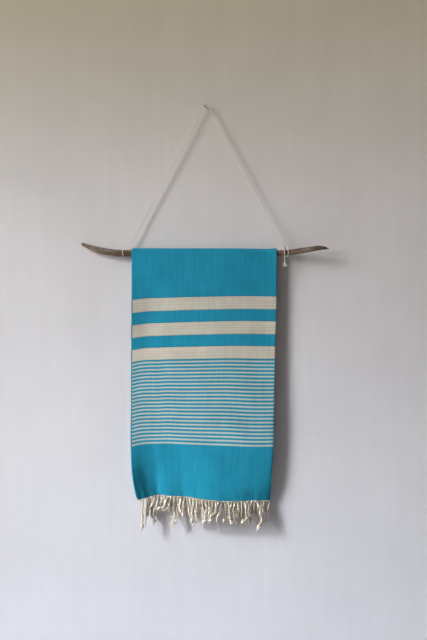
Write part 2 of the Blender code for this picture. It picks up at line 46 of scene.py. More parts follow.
CAMERA_PLACE = (0.016274, -3.2, -0.727809)
SENSOR = 36.0
# The picture's height in pixels, and what one of them spans a metre away from the camera
PICTURE_HEIGHT = 640
PIXEL_SPAN = 1.08202e-3

camera = bpy.data.objects.new("camera", bpy.data.cameras.new("camera"))
bpy.context.collection.objects.link(camera)
camera.location = CAMERA_PLACE
camera.rotation_euler = (radians(90), 0.0, 0.0)
camera.data.sensor_width = SENSOR
camera.data.lens = SENSOR / (PICTURE_HEIGHT * PIXEL_SPAN)
bpy.context.scene.camera = camera
bpy.context.scene.view_settings.view_transform = "Standard"


# Nail: a plain wire nail with a flat round head, of steel gone brown. It is driven into the
# wall so that it rises towards its head.

NAIL_HEAD_END = np.array((-0.0155, -0.0205, 0.0105))
NAIL_RADIUS = 0.0012
NAIL_HEAD_RADIUS = 0.0026
NAIL_HEAD_THICKNESS = 0.0012
# The head's flat front: its share of the radius, its crown, and the drop and reach of its edge
NAIL_FLAT_SHARE = 0.86
NAIL_CROWN = 0.0001
NAIL_EDGE = (0.0004, 0.00036)
NAIL_LENGTH = 0.050
NAIL_POINT = 0.005
# Rings that the maker's grips left in the neck: how many, how far apart, and how deep
NAIL_GRIPS = 10
NAIL_GRIP_PITCH = 0.0005
NAIL_GRIP_SHARE = 0.06
NAIL_SIDES = 32
NAIL_STEEL = (0.085, 0.075, 0.068)
NAIL_RUST = (0.075, 0.034, 0.018)


def tube_faces(rings, sides, start=0):
    """Quads between rings of points, ring by ring, and one many-sided face over each end."""
    ring, side = np.mgrid[0:rings - 1, 0:sides]
    here = start + ring * sides + side
    after = start + ring * sides + (side + 1) % sides
    quads = np.stack((here, after, after + sides, here + sides), axis=-1).reshape(-1, 4)
    first = list(range(start, start + sides))[::-1]
    last = list(range(start + (rings - 1) * sides, start + rings * sides))
    return quads.tolist() + [first, last]


def add_piece(name, points, faces):
    """A mesh object at the origin, with its place in its points."""
    mesh = bpy.data.meshes.new(name)
    mesh.from_pydata(np.asarray(points).reshape(-1, 3).tolist(), [], faces)
    mesh.update()
    mesh.shade_smooth()
    piece = bpy.data.objects.new(name, mesh)
    bpy.context.collection.objects.link(piece)
    return piece


def unit(vectors):
    """Each vector divided by its length."""
    return vectors / np.linalg.norm(vectors, axis=-1, keepdims=True)


def around(sides):
    """Even angles once round a circle."""
    return 2 * pi * np.arange(sides) / sides


def spokes(angle, first, second):
    """Vectors round a circle: each angle's cosine along the first direction and its sine
    along the second."""
    return (np.cos(angle)[:, None] * first[..., None, :]
            + np.sin(angle)[:, None] * second[..., None, :])


class Finish:
    """A material while it is made. Each call adds a node or two and gives the last output, or
    feeds it to the surface."""

    def __init__(self, name, roughness, metallic=0.0, specular=0.5):
        self.material = bpy.data.materials.new(name)
        self.material.use_nodes = True
        self.tree = self.material.node_tree
        self.shader = self.tree.nodes["Principled BSDF"]
        self.shader.inputs["Roughness"].default_value = roughness
        self.shader.inputs["Metallic"].default_value = metallic
        self.shader.inputs["Specular IOR Level"].default_value = specular

    def add(self, kind, output, inputs, **settings):
        made = self.tree.nodes.new(kind)
        for name, value in settings.items():
            setattr(made, name, value)
        for place, value in inputs.items():
            self.feed(made.inputs[place], value)
        return made.outputs[output]

    def feed(self, socket, value):
        if isinstance(value, bpy.types.NodeSocket):
            self.tree.links.new(value, socket)
        else:
            socket.default_value = value

    def place(self):
        return self.add("ShaderNodeTexCoord", "Object", {})

    def part(self, vector, axis):
        return self.add("ShaderNodeSeparateXYZ", axis, {"Vector": vector})

    def noise(self, vector, scale, detail=2.0, roughness=0.5):
        return self.add("ShaderNodeTexNoise", 0, {"Vector": vector, "Scale": scale,
                                                  "Detail": detail, "Roughness": roughness})

    def streaks(self, vector, scales, detail, roughness=0.5):
        """Noise with a scale of its own in each direction."""
        stretched = self.add("ShaderNodeMapping", 0, {"Vector": vector, "Scale": scales})
        return self.noise(stretched, 1.0, detail, roughness)

    def read(self, name):
        return self.add("ShaderNodeAttribute", "Fac", {}, attribute_name=name)

    def math(self, operation, first, second=0.0):
        return self.add("ShaderNodeMath", 0, {0: first, 1: second}, operation=operation)

    def times(self, first, second):
        return self.math("MULTIPLY", first, second)

    def apart(self, first, second):
        """The difference of two values, without its sign."""
        return self.math("ABSOLUTE", self.math("SUBTRACT", first, second))

    def waves(self, value, length):
        """A sine that runs through one wave in each length."""
        return self.math("SINE", self.times(value, 2 * pi / length))

    def ranged(self, value, low, high, to_low=0.0, to_high=1.0):
        return self.add("ShaderNodeMapRange", 0, {0: value, 1: low, 2: high, 3: to_low,
                                                  4: to_high})

    def mixed(self, factor, first, second, blend="MIX"):
        first, second = ((*c, 1.0) if isinstance(c, tuple) else c for c in (first, second))
        return self.add("ShaderNodeMix", 2, {0: factor, 6: first, 7: second},
                        data_type="RGBA", blend_type=blend)

    def shaded(self, colour, amount):
        """The colour times an amount, which may be a socket."""
        grey = self.add("ShaderNodeCombineColor", 0, {0: amount, 1: amount, 2: amount})
        return self.mixed(1.0, colour, grey, "MULTIPLY")

    def mottled(self, colour, noise, share):
        """The colour made darker and lighter by that share, from the noise's low to its high."""
        return self.shaded(colour, self.ranged(noise, 0.3, 0.7, 1 - share, 1 + share))

    def colour(self, value):
        self.feed(self.shader.inputs["Base Color"], value)

    def raised(self, height, depth):
        """Relief of that depth where the height goes from 0 to 1, in the shading alone."""
        made = self.add("ShaderNodeBump", 0, {"Height": height, "Distance": depth,
                                              "Strength": 1.0})
        self.feed(self.shader.inputs["Normal"], made)


def carry(piece, slot, *replaced):
    """Rides the piece on the one body, in place of the CAD nodes that it stands for."""
    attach(piece, "root")
    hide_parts(*replaced)


def turned(profile, sides, axis):
    """Distances along an axis through the origin and radii there, carried round it."""
    side = unit(np.cross(axis, (0.0, 0.0, 1.0)))
    spoke = spokes(around(sides), side, np.cross(side, axis))
    along, radius = np.array(profile).T
    return along[:, None, None] * axis + radius[:, None, None] * spoke


def nail_profile():
    """Distances from the wall and radii, from the head's front round its edge, which is part
    of an ellipse, and down the gripped neck to the point."""
    front = np.linalg.norm(NAIL_HEAD_END)
    rim = NAIL_HEAD_RADIUS * NAIL_FLAT_SHARE
    edge = np.radians(np.linspace(20, 90, 4))
    drop, reach = NAIL_EDGE
    back = front - NAIL_HEAD_THICKNESS
    rows = [(front + NAIL_CROWN, rim * 0.4), (front, rim)]
    rows += zip(front - drop * (1 - np.cos(edge)), rim + reach * np.sin(edge))
    rows += [(back, NAIL_HEAD_RADIUS * 0.97), (back - 0.0004, NAIL_RADIUS * 1.3)]
    for grip in range(NAIL_GRIPS):
        pinch = 1.0 - NAIL_GRIP_SHARE * (grip % 2)
        rows.append((back - 0.0012 - NAIL_GRIP_PITCH * grip, NAIL_RADIUS * pinch))
    point = front - NAIL_LENGTH
    return rows + [(point + NAIL_POINT, NAIL_RADIUS), (point, NAIL_RADIUS * 0.2)]


profile = nail_profile()
nail = add_piece("wire-nail", turned(profile, NAIL_SIDES, unit(NAIL_HEAD_END)),
                 tube_faces(len(profile), NAIL_SIDES))
steel = Finish("nail steel", 0.5, metallic=0.8)
spots = steel.noise(steel.place(), 900.0, 4.0)
rusty = steel.ranged(spots, 0.45, 0.62)
steel.colour(steel.mixed(rusty, NAIL_STEEL, NAIL_RUST))
steel.feed(steel.shader.inputs["Roughness"], steel.ranged(rusty, 0.0, 1.0, 0.35, 0.8))
steel.raised(spots, 0.0001)
nail.data.materials.append(steel.material)
carry(nail, "nail_metal", "nail")


# Stick: a bowed branch of driftwood, worn smooth and grey along its grain, broken at both
# ends. It lies in the string's two loops and carries the towel.

STICK_RINGS = 420
STICK_SIDES = 44
STICK_COLUMNS = ("x", "y", "z", "radius", "slant")
STICK_SECTIONS = (
    (-0.4385, -0.0110, -0.4654, 0.0046, 0.60),
    (-0.4271, -0.0115, -0.4703, 0.0077, 0.50),
    (-0.4096, -0.0128, -0.4790, 0.0106, 0.35),
    (-0.3889, -0.0138, -0.4849, 0.0114, 0.10),
    (-0.3705, -0.0145, -0.4890, 0.0118, 0.00),
    (-0.3504, -0.0152, -0.4926, 0.0119, 0.00),
    (-0.3252, -0.0162, -0.4961, 0.0119, 0.00),
    (-0.2950, -0.0172, -0.4980, 0.0117, 0.00),
    (-0.2500, -0.0178, -0.4968, 0.0111, 0.00),
    (-0.1000, -0.0182, -0.4960, 0.0102, 0.00),
    (0.1000, -0.0187, -0.4960, 0.0099, 0.00),
    (0.2347, -0.0195, -0.4969, 0.0097, 0.00),
    (0.2790, -0.0245, -0.4955, 0.0103, 0.00),
    (0.3026, -0.0300, -0.4925, 0.0105, 0.00),
    (0.3294, -0.0370, -0.4888, 0.0098, 0.00),
    (0.3460, -0.0420, -0.4865, 0.0094, 0.00),
    (0.3594, -0.0450, -0.4843, 0.0088, 0.20),
    (0.3736, -0.0479, -0.4817, 0.0081, 0.60),
    (0.3867, -0.0503, -0.4809, 0.0068, 1.20),
    (0.3969, -0.0522, -0.4815, 0.0055, 1.60),
    (0.4051, -0.0538, -0.4826, 0.0040, 1.80),
)
# Long grooves in the wood: how many go round it, how fast they turn along it, how deep. Then
# the depth at which they are darkest
GRAIN_WAVES = ((5, 9.0, 0.00022), (9, -14.0, 0.00016), (14, 21.0, 0.00011), (22, -33.0, 0.00006))
DARKEST_GROOVE = 0.0011
# Knots where twigs broke off: x, degrees from the top, length, height. Then the radius at
# which their width is measured
STICK_KNOTS = ((-0.371, 300, 0.010, 0.0009), (-0.332, 215, 0.008, 0.0006),
               (0.318, 330, 0.009, 0.0008), (0.353, 250, 0.007, 0.0007))
KNOT_RADIUS = 0.011
# Splinters of the two breaks: how many go round, where they start, how far they stand out.
# Then how far they reach along the stick, how long its rounded end is, what share of the
# radius is left there, and how far its end face is hollowed
SPLINTERS = ((5, 1.0, 0.0040), (11, 0.0, 0.0022))
SPLINTER_REACH = 0.012
BREAK_ROUNDING = 0.0035
BREAK_SHARE = 0.12
BREAK_HOLLOW = 0.004
# Where the bare broken wood of the right end begins along the stick, and where it is in full
BARE_WOOD = (0.372, 0.388)
DRIFTWOOD_MID = (0.205, 0.140, 0.095)
DRIFTWOOD_DARK = (0.052, 0.034, 0.024)
DRIFTWOOD_GREY = (0.360, 0.300, 0.245)
BROKEN_WOOD = (0.110, 0.048, 0.024)


def curve_through(at, knots, values):
    """Cubic curve through the values at the knots, held level past the first and last: each
    span starts and ends with the slopes of the neighbouring values there."""
    at, knots, values = np.asarray(at, dtype=float), np.asarray(knots), np.asarray(values)
    slopes = np.gradient(values, knots, axis=0)
    left = np.clip(np.searchsorted(knots, at) - 1, 0, len(knots) - 2)
    span = knots[left + 1] - knots[left]
    t = np.clip((at - knots[left]) / span, 0.0, 1.0)
    if values.ndim > 1:
        span, t = span[..., None], t[..., None]
    start = values[left] * (2 * t**3 - 3 * t**2 + 1) + slopes[left] * span * (t**3 - 2 * t**2 + t)
    end = values[left + 1] * (3 * t**2 - 2 * t**3) + slopes[left + 1] * span * (t**3 - t**2)
    return start + end


def smoothstep(low, high, at):
    """0 below low and 1 above high, with a soft rise of 3t squared less 2t cubed between."""
    t = np.clip((at - low) / (high - low), 0.0, 1.0)
    return t * t * (3 - 2 * t)


def hump(at):
    """A soft bump of height 1: e to the power of minus the square of the distance."""
    return np.exp(-at * at)


def read_table(table, names, wanted, at):
    """The named column of a table, on a smooth curve over its first column."""
    columns = np.array(table).T
    return curve_through(at, columns[0], columns[names.index(wanted)])


def stick_value(name, x):
    """The named number of the stick's sections, at x along it."""
    return read_table(STICK_SECTIONS, STICK_COLUMNS, name, x)


def stick_points():
    """Rings round the branch. Each radius is the section's, less a sum of waves that turn
    slowly along the branch, plus soft knots; the last rings close in on a jagged break."""
    first, last = STICK_SECTIONS[0][0], STICK_SECTIONS[-1][0]
    even = np.linspace(-1.0, 1.0, STICK_RINGS)[:, None]
    x = first + (last - first) * (0.6 * even + 0.4 * np.sin(even * pi / 2) + 1) / 2
    angle = around(STICK_SIDES)
    groove = np.zeros((STICK_RINGS, STICK_SIDES))
    for order, (count, pace, depth) in enumerate(GRAIN_WAVES):
        wander = 1.3 * np.sin(11.0 * x + 2.1 * order) + 0.5 * np.sin(41.0 * x + order)
        groove += depth * (1 + np.sin(count * angle + pace * x + wander))
    radius = stick_value("radius", x)
    for middle, degrees, length, height in STICK_KNOTS:
        apart = np.angle(np.exp(1j * (angle - radians(degrees)))) * KNOT_RADIUS
        away = np.hypot(x - middle, apart) / length
        groove -= height * (hump(away * 1.6) - 0.9 * hump(away * 4.5))
    ends = np.minimum(x - first, last - x)
    close = smoothstep(0.0, BREAK_ROUNDING, ends) ** 0.5
    splinters = sum(height * np.sin(count * angle + start) for count, start, height in SPLINTERS)
    splinters = splinters * (1 - smoothstep(0.0, SPLINTER_REACH, ends)) * close
    closed_in = BREAK_SHARE + (1 - BREAK_SHARE) * close
    height = (radius - groove) * np.cos(angle) * closed_in
    depth = (radius - groove) * np.sin(angle) * closed_in
    inner = np.where(x < 0, 1.0, -1.0) * BREAK_HOLLOW * (1 - close) * (x > first)
    return np.stack((x - stick_value("slant", x) * height + splinters + inner,
                     stick_value("y", x) + depth, stick_value("z", x) + height), axis=-1), groove


def mark(piece, name, values):
    """A number on each point of the piece, for its material."""
    wanted = piece.data.attributes.new(name, "FLOAT", "POINT")
    wanted.data.foreach_set("value", np.asarray(values, dtype=np.float32).ravel())


branch, grooves = stick_points()
stick = add_piece("driftwood-stick", branch[:, ::-1], tube_faces(STICK_RINGS, STICK_SIDES))
mark(stick, "groove", grooves[:, ::-1] / DARKEST_GROOVE)
wood = Finish("driftwood", 0.82, specular=0.3)
place = wood.place()
fibre = wood.streaks(place, (14.0, 420.0, 420.0), 5.0, 0.62)
patch = wood.streaks(place, (9.0, 60.0, 60.0), 3.0)
crack = wood.streaks(place, (7.0, 260.0, 260.0), 2.0)
groove = wood.read("groove")
tone = wood.mixed(wood.ranged(fibre, 0.34, 0.66), DRIFTWOOD_DARK, DRIFTWOOD_MID)
tone = wood.mixed(wood.ranged(patch, 0.44, 0.66, 0.0, 0.85), tone, DRIFTWOOD_GREY)
tone = wood.mixed(wood.ranged(groove, 0.45, 1.0, 0.0, 0.75), tone, DRIFTWOOD_DARK)
tone = wood.mixed(wood.ranged(crack, 0.62, 0.68, 0.0, 0.9), tone, DRIFTWOOD_DARK)
broken = wood.ranged(wood.part(place, 0), *BARE_WOOD)
tone = wood.mixed(wood.times(broken, 0.85), tone,
                  wood.mixed(wood.ranged(fibre, 0.3, 0.7), DRIFTWOOD_DARK, BROKEN_WOOD))
wood.colour(tone)
wood.raised(wood.math("SUBTRACT", fibre, wood.ranged(crack, 0.6, 0.68)), 0.0006)
stick.data.materials.append(wood.material)
carry(stick, "driftwood", "stick")


# String: one three-ply cotton cord, tied behind the stick on the left, taken up over the nail
# and wound once round the stick on the right, where its knotted end hangs down in front.

STRING_DIAMETER = 0.0030
STRING_RADIUS = STRING_DIAMETER / 2
STRING_CLEARANCE = 0.0004
WRAP_CLEARANCE = 0.0008
STRING_SEAT = 0.74
STRING_BEND = 0.0062
STRING_LEAN = 62
STRING_STEP = 0.0011
STRING_SIDES = 15
STRING_PLIES = 3
STRING_PITCH = 0.0078
STRING_PLY_DEPTH = 0.24
STRING_FUZZ = 0.12
# Points of its route in the bend over the nail, and in each straight part
BEND_POINTS = 5
STRAIGHT_POINTS = 4
# Where the string lies on the stick: x, then degrees from its top, 90 at the back, 270 in front
LEFT_WRAP = (
    (-0.2945, 118), (-0.2952, 90), (-0.2958, 45), (-0.2962, 0), (-0.2963, -45), (-0.2957, -90),
    (-0.2925, -135), (-0.2872, -180), (-0.2826, -225), (-0.2793, -270), (-0.2776, -300),
)
RIGHT_WRAP = (
    (0.2635, 25), (0.2642, 60), (0.2650, 100), (0.2667, 140), (0.2689, 180), (0.2717, 225),
    (0.2729, 270), (0.2711, 310),
)
# Where its straight parts meet the stick, and its free end after the wrap: x, y, z
LEFT_FOOT = (-0.2700, -0.0110, -0.4722)
RIGHT_FOOT = (0.2607, -0.0222, -0.4750)
FREE_END = (
    (0.2700, -0.0291, -0.4839), (0.2683, -0.0221, -0.4772), (0.2635, -0.0168, -0.4726),
    (0.2575, -0.0186, -0.4720), (0.2543, -0.0251, -0.4754), (0.2557, -0.0318, -0.4814),
    (0.2585, -0.0356, -0.4894), (0.2595, -0.0363, -0.5004), (0.2595, -0.0356, -0.5124),
    (0.2607, -0.0346, -0.5234), (0.2621, -0.0341, -0.5334),
)
# The cotton's own colour, and the painted shade in the grooves between its plies
COTTON = (0.790, 0.745, 0.670)
COTTON_GROOVE_SHADE = (0.360, 0.305, 0.240)


def round_stick(x, angle):
    """A point on the string's line where it lies on the stick: the stick's radius and the
    string's own away from the stick's middle, at that angle from its top."""
    reach = stick_value("radius", x) + STRING_RADIUS + WRAP_CLEARANCE
    turn = np.radians(angle)
    y = stick_value("y", x) + reach * np.sin(turn)
    return (x, y, stick_value("z", x) + reach * np.cos(turn))


def over_nail():
    """Points of the string's bend over the nail, an arc from left to right."""
    seat = NAIL_HEAD_END * STRING_SEAT
    lift = NAIL_RADIUS + STRING_RADIUS + STRING_CLEARANCE
    top = seat[2] + lift / np.cos(np.arcsin(unit(NAIL_HEAD_END)[2]))
    angle = np.radians(STRING_LEAN) * np.linspace(-1.0, 1.0, BEND_POINTS)
    level = np.full(BEND_POINTS, seat[1])
    return np.stack((seat[0] + STRING_BEND * np.sin(angle), level,
                     top - STRING_BEND * (1 - np.cos(angle))), axis=1)


def between(start, end, count):
    """Points on the straight between two points, without its ends."""
    share = (np.arange(count) + 1.0)[:, None] / (count + 1)
    return np.array(start) + (np.array(end) - start) * share


def string_line():
    """Points along the string at even steps: the route's own points, joined by smooth curves."""
    bend = over_nail()
    route = np.concatenate((
        [round_stick(x, angle) for x, angle in LEFT_WRAP], [LEFT_FOOT],
        between(LEFT_FOOT, bend[0], STRAIGHT_POINTS), bend,
        between(bend[-1], RIGHT_FOOT, STRAIGHT_POINTS), [RIGHT_FOOT],
        [round_stick(x, angle) for x, angle in RIGHT_WRAP], FREE_END))
    travel = path_lengths(route)
    return curve_through(np.arange(0.0, travel[-1], STRING_STEP), travel, route)


def path_lengths(path):
    """How far each of the path's points is along it."""
    return np.concatenate(([0.0], np.cumsum(np.linalg.norm(np.diff(path, axis=0), axis=1))))


def square_to(path):
    """Two unit vectors square to the path at each point. Each pair is the last one, made
    square to the path again, so that it doesn't turn about the path."""
    forward = unit(np.gradient(path, axis=0))
    across = np.empty_like(forward)
    carried = np.cross(forward[0], (0.31, 0.52, 0.79))
    for order, direction in enumerate(forward):
        carried = carried - carried.dot(direction) * direction
        carried /= np.linalg.norm(carried)
        across[order] = carried
    return across, np.cross(forward, across)


def yarn(path, radius, plies, pitch, sides, depth):
    """A twisted cord round a path, and how deep each point lies between its plies. Its reach
    is the radius, less the depth where the angle is between two plies, and the plies turn
    once round it in each pitch."""
    across, other = square_to(path)
    angle = around(sides)
    twist = 2 * pi * path_lengths(path)[:, None] / pitch
    ridge = np.abs(np.cos(0.5 * plies * (angle - twist)))
    reach = radius * (1 - depth * (1 - ridge))
    return path[:, None] + reach[..., None] * spokes(angle, across, other), 1 - ridge


def open_tubes(points, groove):
    """A stack of tubes with ends, as rings of points, with its faces and grooves."""
    rings, sides = points.shape[-3:-1]
    faces = []
    for start in range(0, points.size // 3, rings * sides):
        faces += tube_faces(rings, sides, start)
    return points, faces, groove


def joined(name, finish, *parts):
    """One piece of several stacks of tubes, with its grooves written on its points."""
    points, faces, grooves = [], [], []
    for stack, tubes, groove in parts:
        start = sum(len(part) for part in points)
        points.append(stack.reshape(-1, 3))
        faces += [[start + corner for corner in face] for face in tubes]
        grooves.append(np.broadcast_to(groove, stack.shape[:-1]).ravel())
    piece = add_piece(name, np.concatenate(points), faces)
    mark(piece, "groove", np.concatenate(grooves))
    piece.data.materials.append(finish)
    return piece


def cotton_finish(name, light, dark, fuzz):
    """Twisted cotton: painted shade between its plies, mottled, with fine fibres over it."""
    made = Finish(name, 0.95, specular=0.2)
    place = made.place()
    mottle = made.noise(place, 90.0, 3.0)
    fibres = made.noise(place, 1600.0, 3.0, 0.6)
    # Painted shade in the grooves between the plies, darkest where a groove is deepest
    tone = made.mixed(made.ranged(made.read("groove"), 0.25, 0.95, 0.0, 0.85), light, dark)
    tone = made.shaded(tone, made.ranged(mottle, 0.3, 0.7, 0.82, 1.12))
    made.colour(made.mottled(tone, fibres, fuzz))
    made.raised(fibres, 0.0004)
    made.shader.inputs["Sheen Weight"].default_value = 0.25
    made.shader.inputs["Sheen Roughness"].default_value = 0.6
    return made.material


cotton = cotton_finish("string cotton", COTTON, COTTON_GROOVE_SHADE, STRING_FUZZ)
line = string_line()
string = joined("cotton-string", cotton, open_tubes(*yarn(
    line, STRING_RADIUS, STRING_PLIES, STRING_PITCH, STRING_SIDES, STRING_PLY_DEPTH)))
carry(string, "string_cotton", "string")


# Knots: the free end is tied in an overhand knot and frays out below it, and the other end is
# in a small hitch behind the stick.

# How wide, deep and high the free knot is with its fray and without, and its cord's radius
FREE_KNOT = (0.0175, 0.0110, 0.0125)
FREE_WINDING = (FREE_KNOT[0] * 0.72, FREE_KNOT[1] * 0.9, 0.0080)
FREE_KNOT_CORD = 0.0022
FREE_KNOT_GAP = 0.0004
# How wide and deep the fray is at its foot, and by what share its strands differ in length
FRAY_SPREAD = (FREE_KNOT[0] + 0.002, FREE_KNOT[1] - 0.001)
FRAY_UNEVEN = 0.2
FRAY_STRANDS = 48
FRAY_LENGTH = 0.0064
FRAY_RADIUS = 0.00065
FRAY_RINGS = 5
FRAY_SIDES = 5
FRAY_FOOT = 0.0003
TIED_KNOT = (0.0062, 0.0062, 0.0062)
TIED_KNOT_CORD = 0.0012
TIED_KNOT_REACH = 0.0028
TIED_KNOT_LIFT = 0.0016
# How far each strand or tassel is turned from the one before it, so that no two look alike
NEXT_TURN = 2.4


def wound_knot(size, thick, steps, sides, twists):
    """A closed cord round the origin that winds twice round and three times through its ring,
    as wide, deep and high as size says, with three plies that twist a whole number of times on
    the way. Each ring of points stands on the outward direction, made square to the cord."""
    turn = around(steps)
    ring = (2 + np.cos(3 * turn)) / 3
    line = np.stack((ring * np.cos(2 * turn), ring * np.sin(2 * turn), np.sin(3 * turn)), axis=1)
    line = line * (np.array(size) / 2 - thick)
    forward = unit(np.roll(line, -1, axis=0) - np.roll(line, 1, axis=0))
    outward = unit(line * (1, 1, 0.2))
    outward = unit(outward - (outward * forward).sum(axis=1, keepdims=True) * forward)
    angle = around(sides)
    ridge = np.abs(np.cos(1.5 * (angle - twists * turn[:, None])))
    reach = thick * (0.8 + 0.2 * ridge)
    spoke = spokes(angle, outward, np.cross(forward, outward))
    return line[:, None] + reach[..., None] * spoke, 1 - ridge


def closed_tubes(points, groove):
    """A stack of tubes that run back into themselves, with its faces and grooves."""
    rings, sides = points.shape[-3:-1]
    tube, ring, side = np.mgrid[0:points.size // (3 * rings * sides), 0:rings, 0:sides]
    base = tube * rings * sides
    after, beside = (ring + 1) % rings, (side + 1) % sides
    corners = (base + ring * sides + side, base + ring * sides + beside,
               base + after * sides + beside, base + after * sides + side)
    return points, np.stack(corners, axis=-1).reshape(-1, 4).tolist(), groove


def frayed_end(top):
    """Thin strands that leave one place and open downwards like a brush: how far out each one
    is grows with the square root of how far down it is."""
    width, depth = FRAY_SPREAD
    strand = np.arange(FRAY_STRANDS)[:, None]
    down = np.linspace(0.0, 1.0, FRAY_RINGS)
    out = np.sqrt((strand + 0.5) / FRAY_STRANDS) * np.sqrt(0.15 + 0.85 * down)
    length = FRAY_LENGTH * (1 - FRAY_UNEVEN * np.cos(5.1 * strand))
    middle = np.stack((out * np.cos(NEXT_TURN * strand) * width / 2,
                       out * np.sin(NEXT_TURN * strand) * depth / 2, -length * down), axis=-1)
    spoke = spokes(around(FRAY_SIDES), np.array((1.0, 0.0, 0.0)), np.array((0.0, -1.0, 0.0)))
    thin = FRAY_RADIUS * (1 - 0.5 * down)
    return top + middle[:, :, None] + thin[:, None, None] * spoke


away = unit(line[0] - line[1])
tied_place = line[0] + away * TIED_KNOT_REACH
out = tied_place * (0, 1, 1) - (0.0, *(stick_value(name, tied_place[0]) for name in "yz"))
tied_place = tied_place + TIED_KNOT_LIFT * unit(out)
free_top = line[-1] - (0.0, 0.0, FREE_KNOT_GAP)
winding, groove = wound_knot(FREE_WINDING, FREE_KNOT_CORD, steps=120, sides=12, twists=8)
winding = winding + free_top - (0.0, 0.0, FREE_WINDING[2] / 2)
longest = FRAY_LENGTH * (1 + FRAY_UNEVEN)
fray = frayed_end(free_top - (0.0, 0.0, FREE_KNOT[2] - longest - FRAY_FOOT))
free_knot = joined("free-knot", cotton, closed_tubes(winding, groove), open_tubes(fray, 0.2))
carry(free_knot, "string_cotton", "string-knot-free")
winding, groove = wound_knot(TIED_KNOT, TIED_KNOT_CORD, steps=90, sides=10, twists=8)
tied_knot = joined("tied-knot", cotton, closed_tubes(winding + tied_place, groove))
carry(tied_knot, "string_cotton", "string-knot-tied")


# Towel: one flat-woven cotton sheet, 1.00 m wide and 1.63 m long, folded once along its length
# with the fold on the right, and hung over the stick's middle. Blue, with three ivory bands and
# then 23 narrow ivory stripes, woven the same way at both ends.

CLOTH_WIDTH = 1.00
CLOTH_THICKNESS = 0.0012
HALF_WIDTH = CLOTH_WIDTH / 2
STICK_CLEARANCE = 0.0005
LAYER_SPACING = 0.0032
FOLD_SPACING = 0.0050
FOLD_SWELL = 0.012
FOLD_STEPS = 8
FRONT_DROP = 0.8360
BACK_DROP = 0.7300
QUARTER_TURN = 0.018
ARC_STEPS = 14
FRONT_STEPS = 122
BACK_STEPS = 48
LINE_STEPS = 500
# Runs of the sheet's lines of points: how far from the free edges each starts and ends, and
# the spacing of its lines
LINE_RUNS = ((0.000, 0.120, 0.0030), (0.120, 0.220, 0.0050), (0.220, 0.4975, 0.0090))

# How the hanging sheet's level lines run, by depth below the stick's centre. left and right are
# the outline, and sway is how far the middle stands off the plumb line. The rest are slopes:
# corner where the free edge stands forward, crease, ridge, dip and wave across the sheet, slack
# where it falls back to the right, and turn at the folded edge
DROP_COLUMNS = (
    "below", "left", "right", "sway", "corner", "crease", "ridge", "dip", "wave", "slack", "turn",
)
FRONT_ROWS = (
    (0.000, -0.2642, 0.2326, 0.000, 0.00, 0.00, 0.00, 0.00, 0.00, 0.00, 0.00),
    (0.060, -0.2642, 0.2326, 0.003, 0.02, 0.00, 0.05, 0.00, 0.00, 0.02, 0.05),
    (0.163, -0.2641, 0.2323, 0.006, 0.17, 0.03, 0.08, 0.00, 0.01, 0.04, 0.08),
    (0.300, -0.2655, 0.2287, 0.008, 0.10, 0.00, 0.10, 0.00, 0.04, 0.05, 0.08),
    (0.506, -0.2658, 0.2236, 0.011, 0.09, 0.02, 0.02, 0.00, 0.03, 0.03, 0.12),
    (0.660, -0.2660, 0.2204, 0.013, 0.22, 0.08, 0.02, 0.00, 0.08, 0.02, 0.28),
    (0.746, -0.2615, 0.2143, 0.015, 0.44, 0.10, 0.07, 0.02, 0.17, 0.03, 0.36),
    (0.800, -0.2540, 0.2112, 0.014, 0.49, 0.10, 0.28, 0.13, 0.27, 0.07, 0.38),
    (0.830, -0.2462, 0.2105, 0.008, 0.50, 0.16, 0.32, 0.16, 0.29, 0.10, 0.36),
    (0.855, -0.2290, 0.2075, 0.005, 0.50, 0.17, 0.33, 0.17, 0.29, 0.10, 0.36),
)
BACK_ROWS = (
    (0.000, -0.2640, 0.2326, 0.0000, 0.00, 0.00, 0.00, 0.00, 0.00, 0.00, 0.00),
    (0.100, -0.2640, 0.2320, -0.0010, 0.01, 0.00, 0.01, 0.00, 0.01, 0.01, 0.03),
    (0.400, -0.2620, 0.2260, -0.0020, 0.02, 0.00, 0.01, 0.01, 0.02, 0.01, 0.05),
    (0.650, -0.2590, 0.2190, -0.0025, 0.03, 0.01, 0.02, 0.02, 0.02, 0.02, 0.05),
    (0.820, -0.2500, 0.2100, -0.0025, 0.04, 0.01, 0.03, 0.02, 0.03, 0.02, 0.05),
)

# How far the weave's level lines hang below the level, across the folded sheet
DROOP_STATIONS = (0.00, 0.03, 0.06, 0.09, 0.12, 0.18, 0.25, 0.33, 0.42, 0.50)
FRONT_DROOP = (
    (0.0000, (0.0,) * 10),
    (0.1498, (0.0110, 0.0085, 0.0060, 0.0055, 0.0048, 0.0028, 0.0015, 0.0, -0.0015, -0.0010)),
    (0.6548, (0.0090, 0.0032, 0.0010, 0.0005, 0.0, 0.0020, 0.0045, 0.0070, 0.0100, 0.0095)),
    (0.8360, (0.0130, 0.0090, 0.0030, 0.0, 0.0025, 0.0040, 0.0110, 0.0180, 0.0170, 0.0170)),
)
BACK_DROOP = (
    (0.0000, (0.0,) * 10),
    (0.8000, (0.0, 0.0010, 0.0015, 0.0020, 0.0030, 0.0040, 0.0050, 0.0055, 0.0060, 0.0065)),
)

# Where those forms lie, as distances from the free edge: where each ramp starts and ends, the
# middle and half width of each hump, and where the sway is measured
CORNER = (0.005, 0.078)
CREASE = (0.060, 0.014)
RIDGE = (0.101, 0.021)
DIP = (0.158, 0.016)
WAVE = (0.208, 0.048)
SLACK = (0.22, 0.40)
TURN = (0.455, 0.495)
PLUMB_STATION = 0.25
# Depths of the fine forms: long pleats, finer ones, cross waves, and puckers at the hem
PLEAT_DEPTHS = (0.0004, 0.0002)
CROSS_WAVE_DEPTH = 0.0004
PUCKER_DEPTH = 0.0010

